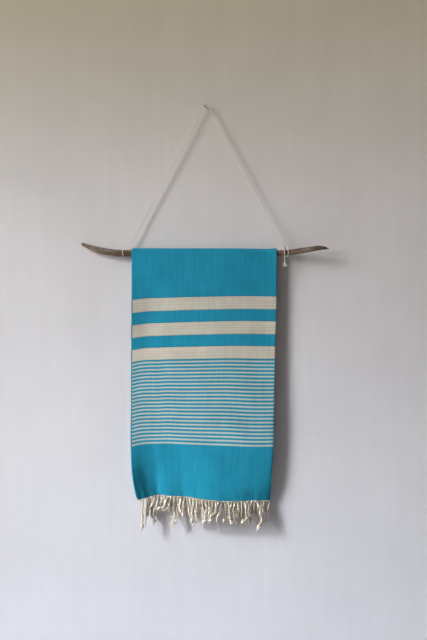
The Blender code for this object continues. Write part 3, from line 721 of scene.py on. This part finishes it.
# The pattern, as depths below the stick's centre. Its lines are a little blurred, and beside
# each band a border of darker blue is full to the first distance and gone by the second
IVORY_BANDS = ((0.1512, 0.1947), (0.2361, 0.2795), (0.3205, 0.3624))
FIRST_STRIPE = 0.3716
STRIPE_PITCH = 0.012676
STRIPE_SHARE = 0.5
LAST_IVORY = 0.6552
BAND_BLUR = 0.0005
STRIPE_BLUR = 0.05
BORDER = (0.0022, 0.0042)
SELVEDGE_WIDTH = 0.0032
SELVEDGE_BLUR = 0.0004
WARP_SPACING = 0.0012
WEFT_SPACING = 0.0014
RIB_SPACING = 0.0093
BLUE = (0.018, 0.278, 0.430)
IVORY = (0.600, 0.575, 0.490)
STRIPE_IVORY = (0.430, 0.550, 0.525)
SELVEDGE_BLUE = (0.006, 0.090, 0.130)


def heading(s, below, rows):
    """Slope of the level lines at distances s from the free edge, one line for each depth, as
    an angle that is positive where the sheet comes forward towards the right."""
    def strength(name):
        """How steep the named form is at each depth."""
        return read_table(rows, DROP_COLUMNS, name, below)[:, None]

    def bump(name, place):
        """A slope that comes and goes as a soft bump across the sheet."""
        middle, width = place
        return strength(name) * hump((s - middle) / width)

    corner = strength("corner") * (1 - smoothstep(*CORNER, s))
    slack = strength("slack") * smoothstep(*SLACK, s)
    turn = strength("turn") * smoothstep(*TURN, s)
    forward = bump("ridge", RIDGE) + bump("wave", WAVE)
    return forward - corner - bump("crease", CREASE) - bump("dip", DIP) - slack - turn


def running_sum(steps):
    """The sum of the steps so far along each row, from nothing."""
    return np.concatenate((np.zeros((len(steps), 1)), np.cumsum(steps, axis=1)), axis=1)


def level_lines(s, below, rows):
    """x, stand-off and heading at distances s along the sheet's level lines, which are the
    sums of the cosines and sines of their headings, fitted between the outline's two sides."""
    fine = np.linspace(0.0, HALF_WIDTH, LINE_STEPS + 1)
    angle = heading(fine, below, rows)
    middle = 0.5 * (angle[:, 1:] + angle[:, :-1])
    across = running_sum(np.cos(middle)) * fine[1]
    forward = running_sum(np.sin(middle)) * fine[1]
    left, right, sway = (read_table(rows, DROP_COLUMNS, name, below)[:, None]
                         for name in ("left", "right", "sway"))
    x = left + across * (right - left) / across[:, -1:]
    plumb = np.searchsorted(fine, PLUMB_STATION)
    stand_off = forward - forward[:, plumb:plumb + 1] + sway
    first = np.clip((s / fine[1]).astype(int), 0, LINE_STEPS - 1)
    share = s / fine[1] - first
    return (values[:, first] * (1 - share) + values[:, first + 1] * share
            for values in (x, stand_off, angle))


def layer_spacing(s):
    """Distance between the two layers, which swells near the folded edge."""
    fold_start = HALF_WIDTH - FOLD_SPACING / 2
    return LAYER_SPACING + (FOLD_SPACING - LAYER_SPACING) * hump((fold_start - s) / FOLD_SWELL)


def hairpin():
    """Points round the folded sheet from its outer free edge to its inner one: the distance
    from the free edges, the lift outward from the inner layer, and the distance round."""
    turn_radius = FOLD_SPACING / 2
    flat = np.concatenate([np.arange(start, end - step / 2, step)
                           for start, end, step in LINE_RUNS] + [[LINE_RUNS[-1][1]]])
    turn = np.linspace(pi / 2, -pi / 2, FOLD_STEPS + 1)[1:-1]
    s = np.concatenate((flat, flat[-1] + turn_radius * np.cos(turn), flat[::-1]))
    bend_lift = turn_radius * (1 + np.sin(turn))
    lift = np.concatenate((layer_spacing(flat), bend_lift, np.zeros(len(flat))))
    round_fold = HALF_WIDTH - turn_radius * turn / (pi / 2)
    across = np.concatenate((flat, round_fold, CLOTH_WIDTH - flat[::-1]))
    return s, lift, across


def droop(s, below, table):
    """How far the weave hangs below the level at distances s and depths below."""
    lines = np.array([curve_through(s, DROOP_STATIONS, row[1]) for row in table])
    return curve_through(below, [row[0] for row in table], lines)


def small_folds(s, below):
    """Fine forms of the hanging cloth: long soft pleats that deepen towards the hem, slight
    cross waves, and puckers at the hem. Both layers share them."""
    hung = smoothstep(0.02, 0.30, below)
    low = smoothstep(0.55, 0.84, below)
    long, fine = PLEAT_DEPTHS
    pleats = long * np.sin(57.0 * s + 2.2 * below + 2) * np.sin(9.0 * s - 2.0 * below)
    pleats = pleats + fine * np.sin(151.0 * s - 5.0 * below + 1 + np.sin(23.0 * s))
    cross = CROSS_WAVE_DEPTH * np.sin(29.0 * below + 9.0 * s) * np.sin(14.0 * s + 3.0 * below)
    hem = PUCKER_DEPTH * np.sin(210.0 * s + 1.5 * np.sin(31.0 * s))
    return hung * (pleats * (0.6 + 1.6 * low) + cross) + hem * smoothstep(0.78, 0.84, below)


def sheet_rows(side, angle, below):
    """Level rows of the sheet's middle surface. side is -1 in front and 1 behind, angle is
    from the top of the stick down to that side, and below is the drop under its centre."""
    rows = FRONT_ROWS if side < 0 else BACK_ROWS
    table = FRONT_DROOP if side < 0 else BACK_DROOP
    s, lift, across = hairpin()
    line_x, line_off, turned_by = level_lines(s, below, rows)
    x = line_x - np.sin(turned_by) * lift
    off = line_off + np.cos(turned_by) * lift + small_folds(s, below[:, None])
    reach = stick_value("radius", x) + STICK_CLEARANCE + CLOTH_THICKNESS / 2 + off
    angle, below = angle[:, None], below[:, None]
    y = stick_value("y", x) + side * reach * np.sin(angle)
    z = stick_value("z", x) + reach * np.cos(angle) - below - droop(s, below[:, 0], table)
    along = side * (below + QUARTER_TURN * angle / (pi / 2)) + 0 * x
    return np.stack((x, y, z), axis=-1), np.stack((along, across + 0 * x), axis=-1)


def towel_grid():
    """The sheet's points, row by row from the front hem up over the stick to the back hem,
    and each point's place in the flat cloth: metres from the stick, and from one selvedge."""
    front = np.linspace(FRONT_DROP, 0.0, FRONT_STEPS + 1)[:-1]
    back = np.linspace(0.0, BACK_DROP, BACK_STEPS + 1)[1:]
    arc = np.linspace(0.0, pi / 2, ARC_STEPS // 2 + 1)
    parts = [sheet_rows(-1, np.full(len(front), pi / 2), front),
             sheet_rows(-1, arc[::-1], np.zeros(len(arc))),
             sheet_rows(1, arc[1:], np.zeros(len(arc) - 1)),
             sheet_rows(1, np.full(len(back), pi / 2), back)]
    return (np.concatenate([part[which] for part in parts]) for which in (0, 1))


sheet_points, sheet_flat = towel_grid()
rows, width = sheet_points.shape[:2]
row, step = np.mgrid[0:rows - 1, 0:width - 1]
corner = row * width + step
quads = np.stack((corner, corner + 1, corner + width + 1, corner + width), axis=-1)
quads = quads.reshape(-1, 4)
towel = add_piece("towel-cloth", sheet_points, quads.tolist())
flat_map = towel.data.uv_layers.new(name="flat cloth")
flat_map.data.foreach_set("uv", sheet_flat.reshape(-1, 2)[quads.ravel()].ravel()
                          .astype(np.float32))
thick = towel.modifiers.new("thickness", "SOLIDIFY")
thick.thickness = CLOTH_THICKNESS
thick.offset = 0.0
thick.use_even_offset = True

cloth = Finish("striped cotton", 0.92, specular=0.1)
flat = cloth.add("ShaderNodeUVMap", 0, {}, uv_map="flat cloth")
along, across = cloth.part(flat, 0), cloth.part(flat, 1)
depth = cloth.math("SUBTRACT", cloth.math("ABSOLUTE", along), QUARTER_TURN)
ivory = border = 0.0
for start, end in IVORY_BANDS:
    off = cloth.apart(depth, (start + end) / 2)
    half = (end - start) / 2
    inside = cloth.ranged(off, half + BAND_BLUR, half - BAND_BLUR)
    ivory = cloth.math("MAXIMUM", ivory, inside)
    beside = cloth.ranged(off, half + BORDER[1], half + BORDER[0])
    border = cloth.math("MAXIMUM", border, beside)
turn = cloth.math("DIVIDE", cloth.math("SUBTRACT", depth, FIRST_STRIPE), STRIPE_PITCH)
off = cloth.apart(turn, cloth.math("ROUND", turn))
stripe = cloth.ranged(off, STRIPE_SHARE / 2 + STRIPE_BLUR, STRIPE_SHARE / 2 - STRIPE_BLUR)
lowest = cloth.math("LESS_THAN", depth, LAST_IVORY)
highest = cloth.math("GREATER_THAN", depth, FIRST_STRIPE - STRIPE_PITCH / 2)
stripe = cloth.times(stripe, cloth.times(lowest, highest))
band, ivory = ivory, cloth.math("MAXIMUM", ivory, stripe)
to_edge = cloth.math("MINIMUM", across, cloth.math("SUBTRACT", CLOTH_WIDTH, across))
selvedge = cloth.ranged(to_edge, SELVEDGE_WIDTH + SELVEDGE_BLUR, SELVEDGE_WIDTH - SELVEDGE_BLUR)

streak = cloth.streaks(flat, (9.0, 110.0, 1.0), 4.0, 0.62)
weft = cloth.streaks(flat, (260.0, 3.0, 1.0), 3.0, 0.6)
patch = cloth.noise(flat, 13.0, 3.0)
weave = cloth.times(cloth.waves(across, WARP_SPACING), cloth.waves(along, WEFT_SPACING))
rib = cloth.waves(depth, RIB_SPACING)
blue = cloth.mottled(cloth.mottled(BLUE, streak, 0.10), weft, 0.03)
blue = cloth.shaded(blue, cloth.ranged(border, 0.0, 1.0, 1.0, 0.78))
pale = cloth.mixed(band, STRIPE_IVORY, IVORY)
pale = cloth.mottled(cloth.mottled(pale, streak, 0.05), weft, 0.07)
pale = cloth.shaded(pale, cloth.ranged(rib, -1.0, 1.0, 0.94, 1.05))
tone = cloth.mixed(ivory, blue, pale)
tone = cloth.mixed(cloth.times(selvedge, ivory), tone, SELVEDGE_BLUE)
tone = cloth.shaded(tone, cloth.ranged(weave, -1.0, 1.0, 0.90, 1.08))
cloth.colour(cloth.mottled(tone, patch, 0.07))
height = cloth.math("ADD", cloth.times(weave, 0.25), cloth.times(weft, 0.8))
height = cloth.math("ADD", height, cloth.times(streak, 0.5))
cloth.raised(height, 0.0004)
towel.data.materials.append(cloth.material)
carry(towel, "towel_cloth", "towel")


# Fringe: the warp ends below each hem, twisted into two-ply tassels and knotted near their
# ends, with a tuft under each knot. Thin yarns that no knot holds hang between the tassels,
# and a fine twisted cord edges each hem.

TASSELS_PER_LAYER = 20
OUTER_START = 0.85
INNER_START = 1.35
STRIP_GAP = 0.0005
ROOT_DEPTH = 0.0012
EDGE_CORD = 0.0019
EDGE_PITCH = 0.0070
EDGE_STEP = 0.0010
EDGE_SIDES = 10
EDGE_PLY_DEPTH = 0.35
EDGE_OFFSET = 0.0022
SCALLOP_HEIGHT = 0.0007
SCALLOP_LENGTH = 0.0145
TASSEL_STEPS = 60
TASSEL_RINGS = 84
TASSEL_SIDES = 14
TASSEL_PITCH = 0.0150
TASSEL_RADIUS = 0.0043
PLY_DEPTH = 0.50
# A tassel's radius swells by one share along it, and is less by another at its root
SWELL_SHARE = 0.10
SWELL_PACE = 190.0
ROOT_SHARE = 0.35
ROOT_LENGTH = 0.006
KNOT_SHARE = 0.82
TASSEL_KNOT = (0.0158, 0.0158, 0.0145)
TASSEL_KNOT_CORD = 0.0031
TUFT_STRANDS = 9
TUFT_RINGS = 5
TUFT_START = 0.84
TUFT_REACH = 0.0036
TUFT_SIDES = 4
STRAND_RADIUS = 0.0006
# The thin yarns: their shares of the length and of the form of the tassel before each
LOOSE_RADIUS = 0.0026
LOOSE_PITCH = 0.0075
LOOSE_SHARE = 0.86
LOOSE_FORM_SHARE = 0.6
LOOSE_RINGS = 50
LOOSE_SIDES = 8
# Ways the tassels hang: the length, then how many degrees they lean to the right of straight
# down at the root, halfway and at the end
TASSEL_FORMS = {
    "long": (0.106, -6, 0, -8),
    "long crossing": (0.100, 0, 16, 6),
    "slanting": (0.080, -10, -36, -4),
    "curled": (0.064, -10, -42, -115),
    "short": (0.054, 5, -5, 10),
    "brief": (0.042, -4, 10, -6),
    "plain": (0.074, 3, -6, -12),
    "bowed": (0.096, 4, 16, -34),
    "looped": (0.086, -10, 4, 82),
    "turned back": (0.084, 8, -2, -78),
    "hooked": (0.106, 16, 2, -52),
    "turned out": (0.078, -2, -2, 62),
}
OUTER_ORDER = (
    "long", "long crossing", "slanting", "short", "curled", "long", "short",
    "long crossing", "short", "bowed", "plain", "short", "slanting", "plain",
    "looped", "short", "turned back", "plain", "hooked", "turned out",
)
PLAIN_ORDER = ("short", "brief", "plain", "brief", "short", "slanting", "brief")
BACK_ORDER = ("brief", "short", "brief", "brief", "short")
PLAIN_SHARE = 0.45
# How far the tassels come to hang behind their roots, or before them where it is less than 0,
# in turn, by side (-1 in front, 1 behind) and layer, and by what share of their length
LEANS = {
    (-1, "outer"): (-0.0180, -0.0070),
    (-1, "inner"): (-0.0025, -0.0025),
    (1, "outer"): (-0.0015, -0.0020),
    (1, "inner"): (-0.0015, -0.0030),
}
LEAN_DEPTH = 0.35
# Each tassel also waves to and fro, by so many degrees, once in each wave's length
WAVE_SWING = 24.0
WAVE_LENGTH = 0.038
# The yarn's own colour, and the painted shade in the grooves between its plies
YARN_LIGHT = (0.765, 0.705, 0.610)
YARN_GROOVE_SHADE = (0.260, 0.175, 0.105)
YARN_FUZZ = 0.12


def tassel_roots(length, side):
    """Each tassel's place along the hem, a pitch from the next in its layer, with its form's
    numbers, the share of that form it takes and its lean to the back. The fold has none."""
    pitch = length / 2 / (TASSELS_PER_LAYER + 1)
    front = side < 0
    plain = PLAIN_ORDER if front else BACK_ORDER
    roots = []
    for order in range(TASSELS_PER_LAYER):
        form = OUTER_ORDER[order] if front else plain[order % len(plain)]
        share = 1.0 if front else PLAIN_SHARE
        lean = LEANS[(side, "outer")][order % 2]
        roots.append(((order + OUTER_START) * pitch, *TASSEL_FORMS[form], share, lean))
        form = plain[(order + 3) % len(plain)]
        lean = LEANS[(side, "inner")][order % 2]
        place = length - (order + INNER_START) * pitch
        roots.append((place, *TASSEL_FORMS[form], PLAIN_SHARE, lean))
    return np.array(sorted(roots))


def along_path(path, at):
    """Points at those distances along a path, on the straights between its own points."""
    travel = path_lengths(path)
    return np.stack([np.interp(at, travel, path[:, axis]) for axis in range(3)], axis=1)


def tassel_courses(hem, roots):
    """Points down the middle of every tassel from under the hem. Its lean to the right is a
    parabola through the three leans of its form, with a sine wave added, and its lean to the
    back is reached softly."""
    root, length, first, middle, last, share, lean = (values[:, None] for values in roots.T)
    along = (np.arange(TASSEL_STEPS) + 0.5) / TASSEL_STEPS
    bend = 2 * (first + last - 2 * middle)
    degrees = first + (4 * middle - 3 * first - last) * along + bend * along**2
    order = np.arange(len(roots))[:, None]
    wave = np.sin(2 * pi * length * along / WAVE_LENGTH + NEXT_TURN * order)
    swing = WAVE_SWING * (0.4 + 0.6 * np.sin(1.7 * order) ** 2) * smoothstep(0.0, 0.2, along)
    angle = np.radians(share * degrees + swing * wave)
    step = length / TASSEL_STEPS
    right = running_sum(np.sin(angle)) * step
    down = running_sum(np.cos(angle)) * step
    back = lean * smoothstep(0.0, LEAN_DEPTH, np.linspace(0.0, 1.0, TASSEL_STEPS + 1))
    starts = along_path(hem, root[:, 0]) - (0.0, 0.0, STRIP_GAP + ROOT_DEPTH)
    return starts[:, None] + np.stack((right, back, -down), axis=-1)


def read_course(courses, share):
    """Points at those shares of the way down every course."""
    at = np.asarray(share) * TASSEL_STEPS
    first = np.clip(at.astype(int), 0, TASSEL_STEPS - 1)
    part = (at - first)[:, None]
    return courses[:, first] * (1 - part) + courses[:, first + 1] * part


def tassel_frames(points):
    """Two unit vectors square to each course: back, as near to +Y as can be, and right."""
    downward = unit(np.gradient(points, axis=1))
    back = unit(np.array((0.0, 1.0, 0.0)) - downward[..., 1:2] * downward)
    return back, np.cross(downward, back)


def twisted_tassels(courses, lengths, phases, size, pitch, share, sides):
    """Rings round every tassel at those shares of its length: a radius that swells in a sine
    wave and is less at the root, with two plies that turn once in each pitch."""
    centre = read_course(courses, share)
    back, right = tassel_frames(centre)
    travel = share * lengths[:, None]
    angle = around(sides)
    twist = 2 * pi * travel / pitch + phases[:, None]
    ridge = np.abs(np.cos(angle - twist[..., None]))
    swell = 1 + SWELL_SHARE * np.sin(SWELL_PACE * travel + 3 * phases[:, None])
    swell = swell * (1 - ROOT_SHARE * (1 - smoothstep(0.0, ROOT_LENGTH, travel)))
    reach = size * swell[..., None] * (1 - PLY_DEPTH * (1 - ridge))
    return centre[..., None, :] + reach[..., None] * spokes(angle, back, right), 1 - ridge


def tassel_knots(courses, phases):
    """An overhand knot round every tassel, turned with the tassel's own end."""
    tube, groove = wound_knot(TASSEL_KNOT, TASSEL_KNOT_CORD, steps=44, sides=8, twists=5)
    centre = read_course(courses, np.array((KNOT_SHARE - 0.01, KNOT_SHARE, KNOT_SHARE + 0.01)))
    back, right = (values[:, 1] for values in tassel_frames(centre))
    down = np.cross(back, right)
    cos, sin = np.cos(phases)[:, None], np.sin(phases)[:, None]
    axes = np.stack((cos * back + sin * right, cos * right - sin * back, down), axis=1)
    return centre[:, 1, None, None] + np.einsum("rsa,tab->trsb", tube, axes), groove


def tassel_tufts(courses, phases):
    """Loose strands below every knot, each a thin tapering tube that spreads from the middle
    as it goes down and turns a little round it."""
    down = np.linspace(0.0, 1.0, TUFT_RINGS)
    centre = read_course(courses, np.linspace(TUFT_START, 1.0, TUFT_RINGS))
    back, right = tassel_frames(centre)
    strand = np.arange(TUFT_STRANDS)
    spread = np.sqrt((strand + 0.5) / TUFT_STRANDS) * TUFT_REACH
    offset = spread[:, None] * (smoothstep(0.0, 1.0, down) * 0.8 + 0.2)
    turn = (strand * NEXT_TURN + phases[:, None])[..., None] + 0.5 * down
    middle = (centre[:, None] + (offset * np.cos(turn))[..., None] * right[:, None]
              + (offset * np.sin(turn))[..., None] * back[:, None])
    radius = STRAND_RADIUS * (1 - 0.45 * down)
    spoke = spokes(around(TUFT_SIDES), back[:, None], right[:, None])
    return middle[..., None, :] + radius[:, None, None] * spoke


def loose_yarns(hem, roots, phases):
    """A thin yarn after every tassel, halfway to the next, twisted as the tassels are."""
    roots = roots.copy()
    roots[:-1, 0] = (roots[:-1, 0] + roots[1:, 0]) / 2
    roots[:, 1] *= LOOSE_SHARE
    roots[:, 5] *= LOOSE_FORM_SHARE
    return twisted_tassels(tassel_courses(hem, roots), roots[:, 1], phases + 1.0, LOOSE_RADIUS,
                           LOOSE_PITCH, np.linspace(0.0, 1.0, LOOSE_RINGS), LOOSE_SIDES)


def hem_cord(hem, side):
    """The cord that edges a hem, which rises and falls in a sine wave along it."""
    at = np.arange(STRIP_GAP, path_lengths(hem)[-1], EDGE_STEP)
    line = along_path(hem, at) + (0.0, EDGE_OFFSET * side, STRIP_GAP)
    line[:, 2] += SCALLOP_HEIGHT * np.sin(2 * pi * at / SCALLOP_LENGTH)
    return yarn(line, EDGE_CORD, 2, EDGE_PITCH, EDGE_SIDES, EDGE_PLY_DEPTH)


def make_fringe(name, hem, side, stands_for):
    """A hem's cord, its tassels with their knots and tufts, and its loose yarns, joined in one
    piece."""
    roots = tassel_roots(path_lengths(hem)[-1], side)
    phases = NEXT_TURN * np.arange(len(roots)) + side
    courses = tassel_courses(hem, roots)
    tassels = twisted_tassels(courses, roots[:, 1], phases, TASSEL_RADIUS, TASSEL_PITCH,
                              np.linspace(0.0, KNOT_SHARE, TASSEL_RINGS), TASSEL_SIDES)
    # The tufts take a slight, even share of the painted groove shade
    piece = joined(name, yarn_finish, open_tubes(*hem_cord(hem, side)), open_tubes(*tassels),
                   open_tubes(*loose_yarns(hem, roots, phases)),
                   closed_tubes(*tassel_knots(courses, phases)),
                   open_tubes(tassel_tufts(courses, phases), 0.3))
    carry(piece, "fringe_yarn", stands_for)
    return piece


yarn_finish = cotton_finish("fringe yarn", YARN_LIGHT, YARN_GROOVE_SHADE, YARN_FUZZ)
front_fringe = make_fringe("front-fringe", sheet_points[0], -1, "fringe-front")
back_fringe = make_fringe("back-fringe", sheet_points[-1], 1, "fringe-back")


# Backdrop: a plain pale floor, and the wall that the nail is in, which shows from its front
# only and lets light through, so that the object is seen from behind as well. The wall's tone
# carries painted light and shade.

FLOOR_Z = -1.95
WALL_Y = 0.0006
STAGE_REACH = 6.0
# The wall's tones blend between these heights: painted warm shade at its top and painted cool
# light at its foot. Above its foot it has painted shade to the left and painted light to the
# right: from where to where, and by what shares
FOOT_HEIGHTS = (-1.7, -0.35)
TOP_HEIGHTS = (-0.35, 0.35)
SHADED_SIDES = (-0.75, 0.80)
PAINTED_SIDE_SHADE_SHARES = (-0.09, 0.07)
WALL_SHADE = 0.99
WALL_TOP_PAINTED_SHADE = (0.548, 0.506, 0.398)
WALL_MIDDLE = (0.705, 0.690, 0.700)
WALL_FOOT_PAINTED_COOL_LIGHT = (0.650, 0.660, 0.740)
FLOOR_TONE = (0.62, 0.61, 0.60)


def add_plane(name, corners, finish):
    """One flat face through four corners, kept out of the exported model."""
    plane = add_piece(name, corners, [[0, 1, 2, 3]])
    plane.data.materials.append(finish)
    return plane


floor_finish = Finish("pale floor", 0.9)
floor_finish.colour((*FLOOR_TONE, 1.0))
corners = np.array(((-1, -1), (1, -1), (1, 1), (-1, 1))) * STAGE_REACH
add_plane("floor", [(x, y, FLOOR_Z) for x, y in corners], floor_finish.material)

plaster = Finish("wall", 0.95, specular=0.2)
mottle = plaster.noise(plaster.place(), 3.0, 4.0, 0.6)
strokes = plaster.streaks(plaster.place(), (26.0, 26.0, 2.2), 4.0, 0.6)
across, height = plaster.part(plaster.place(), 0), plaster.part(plaster.place(), 2)
# Painted light and shade: warm shade at the top, cool light at the foot, and above the foot shade
# to the left and light to the right
above_foot = plaster.ranged(height, *FOOT_HEIGHTS)
tone = plaster.mixed(above_foot, WALL_FOOT_PAINTED_COOL_LIGHT, WALL_MIDDLE)
tone = plaster.mixed(plaster.ranged(height, *TOP_HEIGHTS), tone, WALL_TOP_PAINTED_SHADE)
painted_side_shade = plaster.times(above_foot, plaster.ranged(across, *SHADED_SIDES, *PAINTED_SIDE_SHADE_SHARES))
tone = plaster.shaded(tone, plaster.math("ADD", painted_side_shade, WALL_SHADE))
plaster.colour(plaster.mottled(plaster.mottled(tone, strokes, 0.02), mottle, 0.035))
facing_back = plaster.add("ShaderNodeNewGeometry", "Backfacing", {})
clear = plaster.add("ShaderNodeBsdfTransparent", 0, {})
seen = plaster.add("ShaderNodeMixShader", 0, {0: facing_back, 1: plaster.shader.outputs[0],
                                              2: clear})
plaster.feed(plaster.tree.nodes["Material Output"].inputs["Surface"], seen)
wall = add_plane("wall", [(x, WALL_Y, max(z, FLOOR_Z)) for x, z in corners], plaster.material)
wall.visible_shadow = False


# Light: a tall broad window to the left, well off to the side, with a weak low one that lights
# the wall's foot, a faint warm fill from all round, and a soft lamp behind.

# Name, place, where it is aimed, width and height, watts, colour, spread in degrees, bounces
LAMPS = (
    ("window", (-6.9, -4.0, 2.6), (0.0, 0.0, -0.8), (3.2, 6.4), 735.0, (1.0, 0.97, 0.93),
     180, 1024),
    ("low window", (-6.9, -4.0, 2.2), (0.0, 0.0, -1.9), (2.0, 2.0), 13.0, (0.92, 0.97, 1.0),
     14, 1024),
    ("back lamp", (1.5, 3.0, 0.6), (0.0, 0.0, -0.8), (2.0, 2.0), 100.0, (1.0, 1.0, 1.0), 180, 0),
)
FILL_COLOUR = (1.0, 0.76, 0.66, 1.0)
FILL_STRENGTH = 0.05


def add_lamp(name, place, target, size, power, colour, spread, bounces):
    """A flat lamp, tipped up from straight down by one angle and turned by its bearing."""
    lamp = bpy.data.lights.new(name, "AREA")
    lamp.shape = "RECTANGLE"
    lamp.size, lamp.size_y = size
    lamp.energy = power
    lamp.color = colour
    lamp.spread = radians(spread)
    lamp.cycles.max_bounces = bounces
    holder = bpy.data.objects.new(name, lamp)
    bpy.context.collection.objects.link(holder)
    holder.location = place
    away = np.array(target) - place
    holder.rotation_euler = (np.arctan2(np.hypot(away[0], away[1]), -away[2]), 0.0,
                             np.arctan2(away[1], away[0]) - pi / 2)


for lamp in LAMPS:
    add_lamp(*lamp)

world = bpy.data.worlds.new("room")
bpy.context.scene.world = world
world.use_nodes = True
fill = world.node_tree.nodes["Background"]
fill.inputs["Color"].default_value = FILL_COLOUR
fill.inputs["Strength"].default_value = FILL_STRENGTH
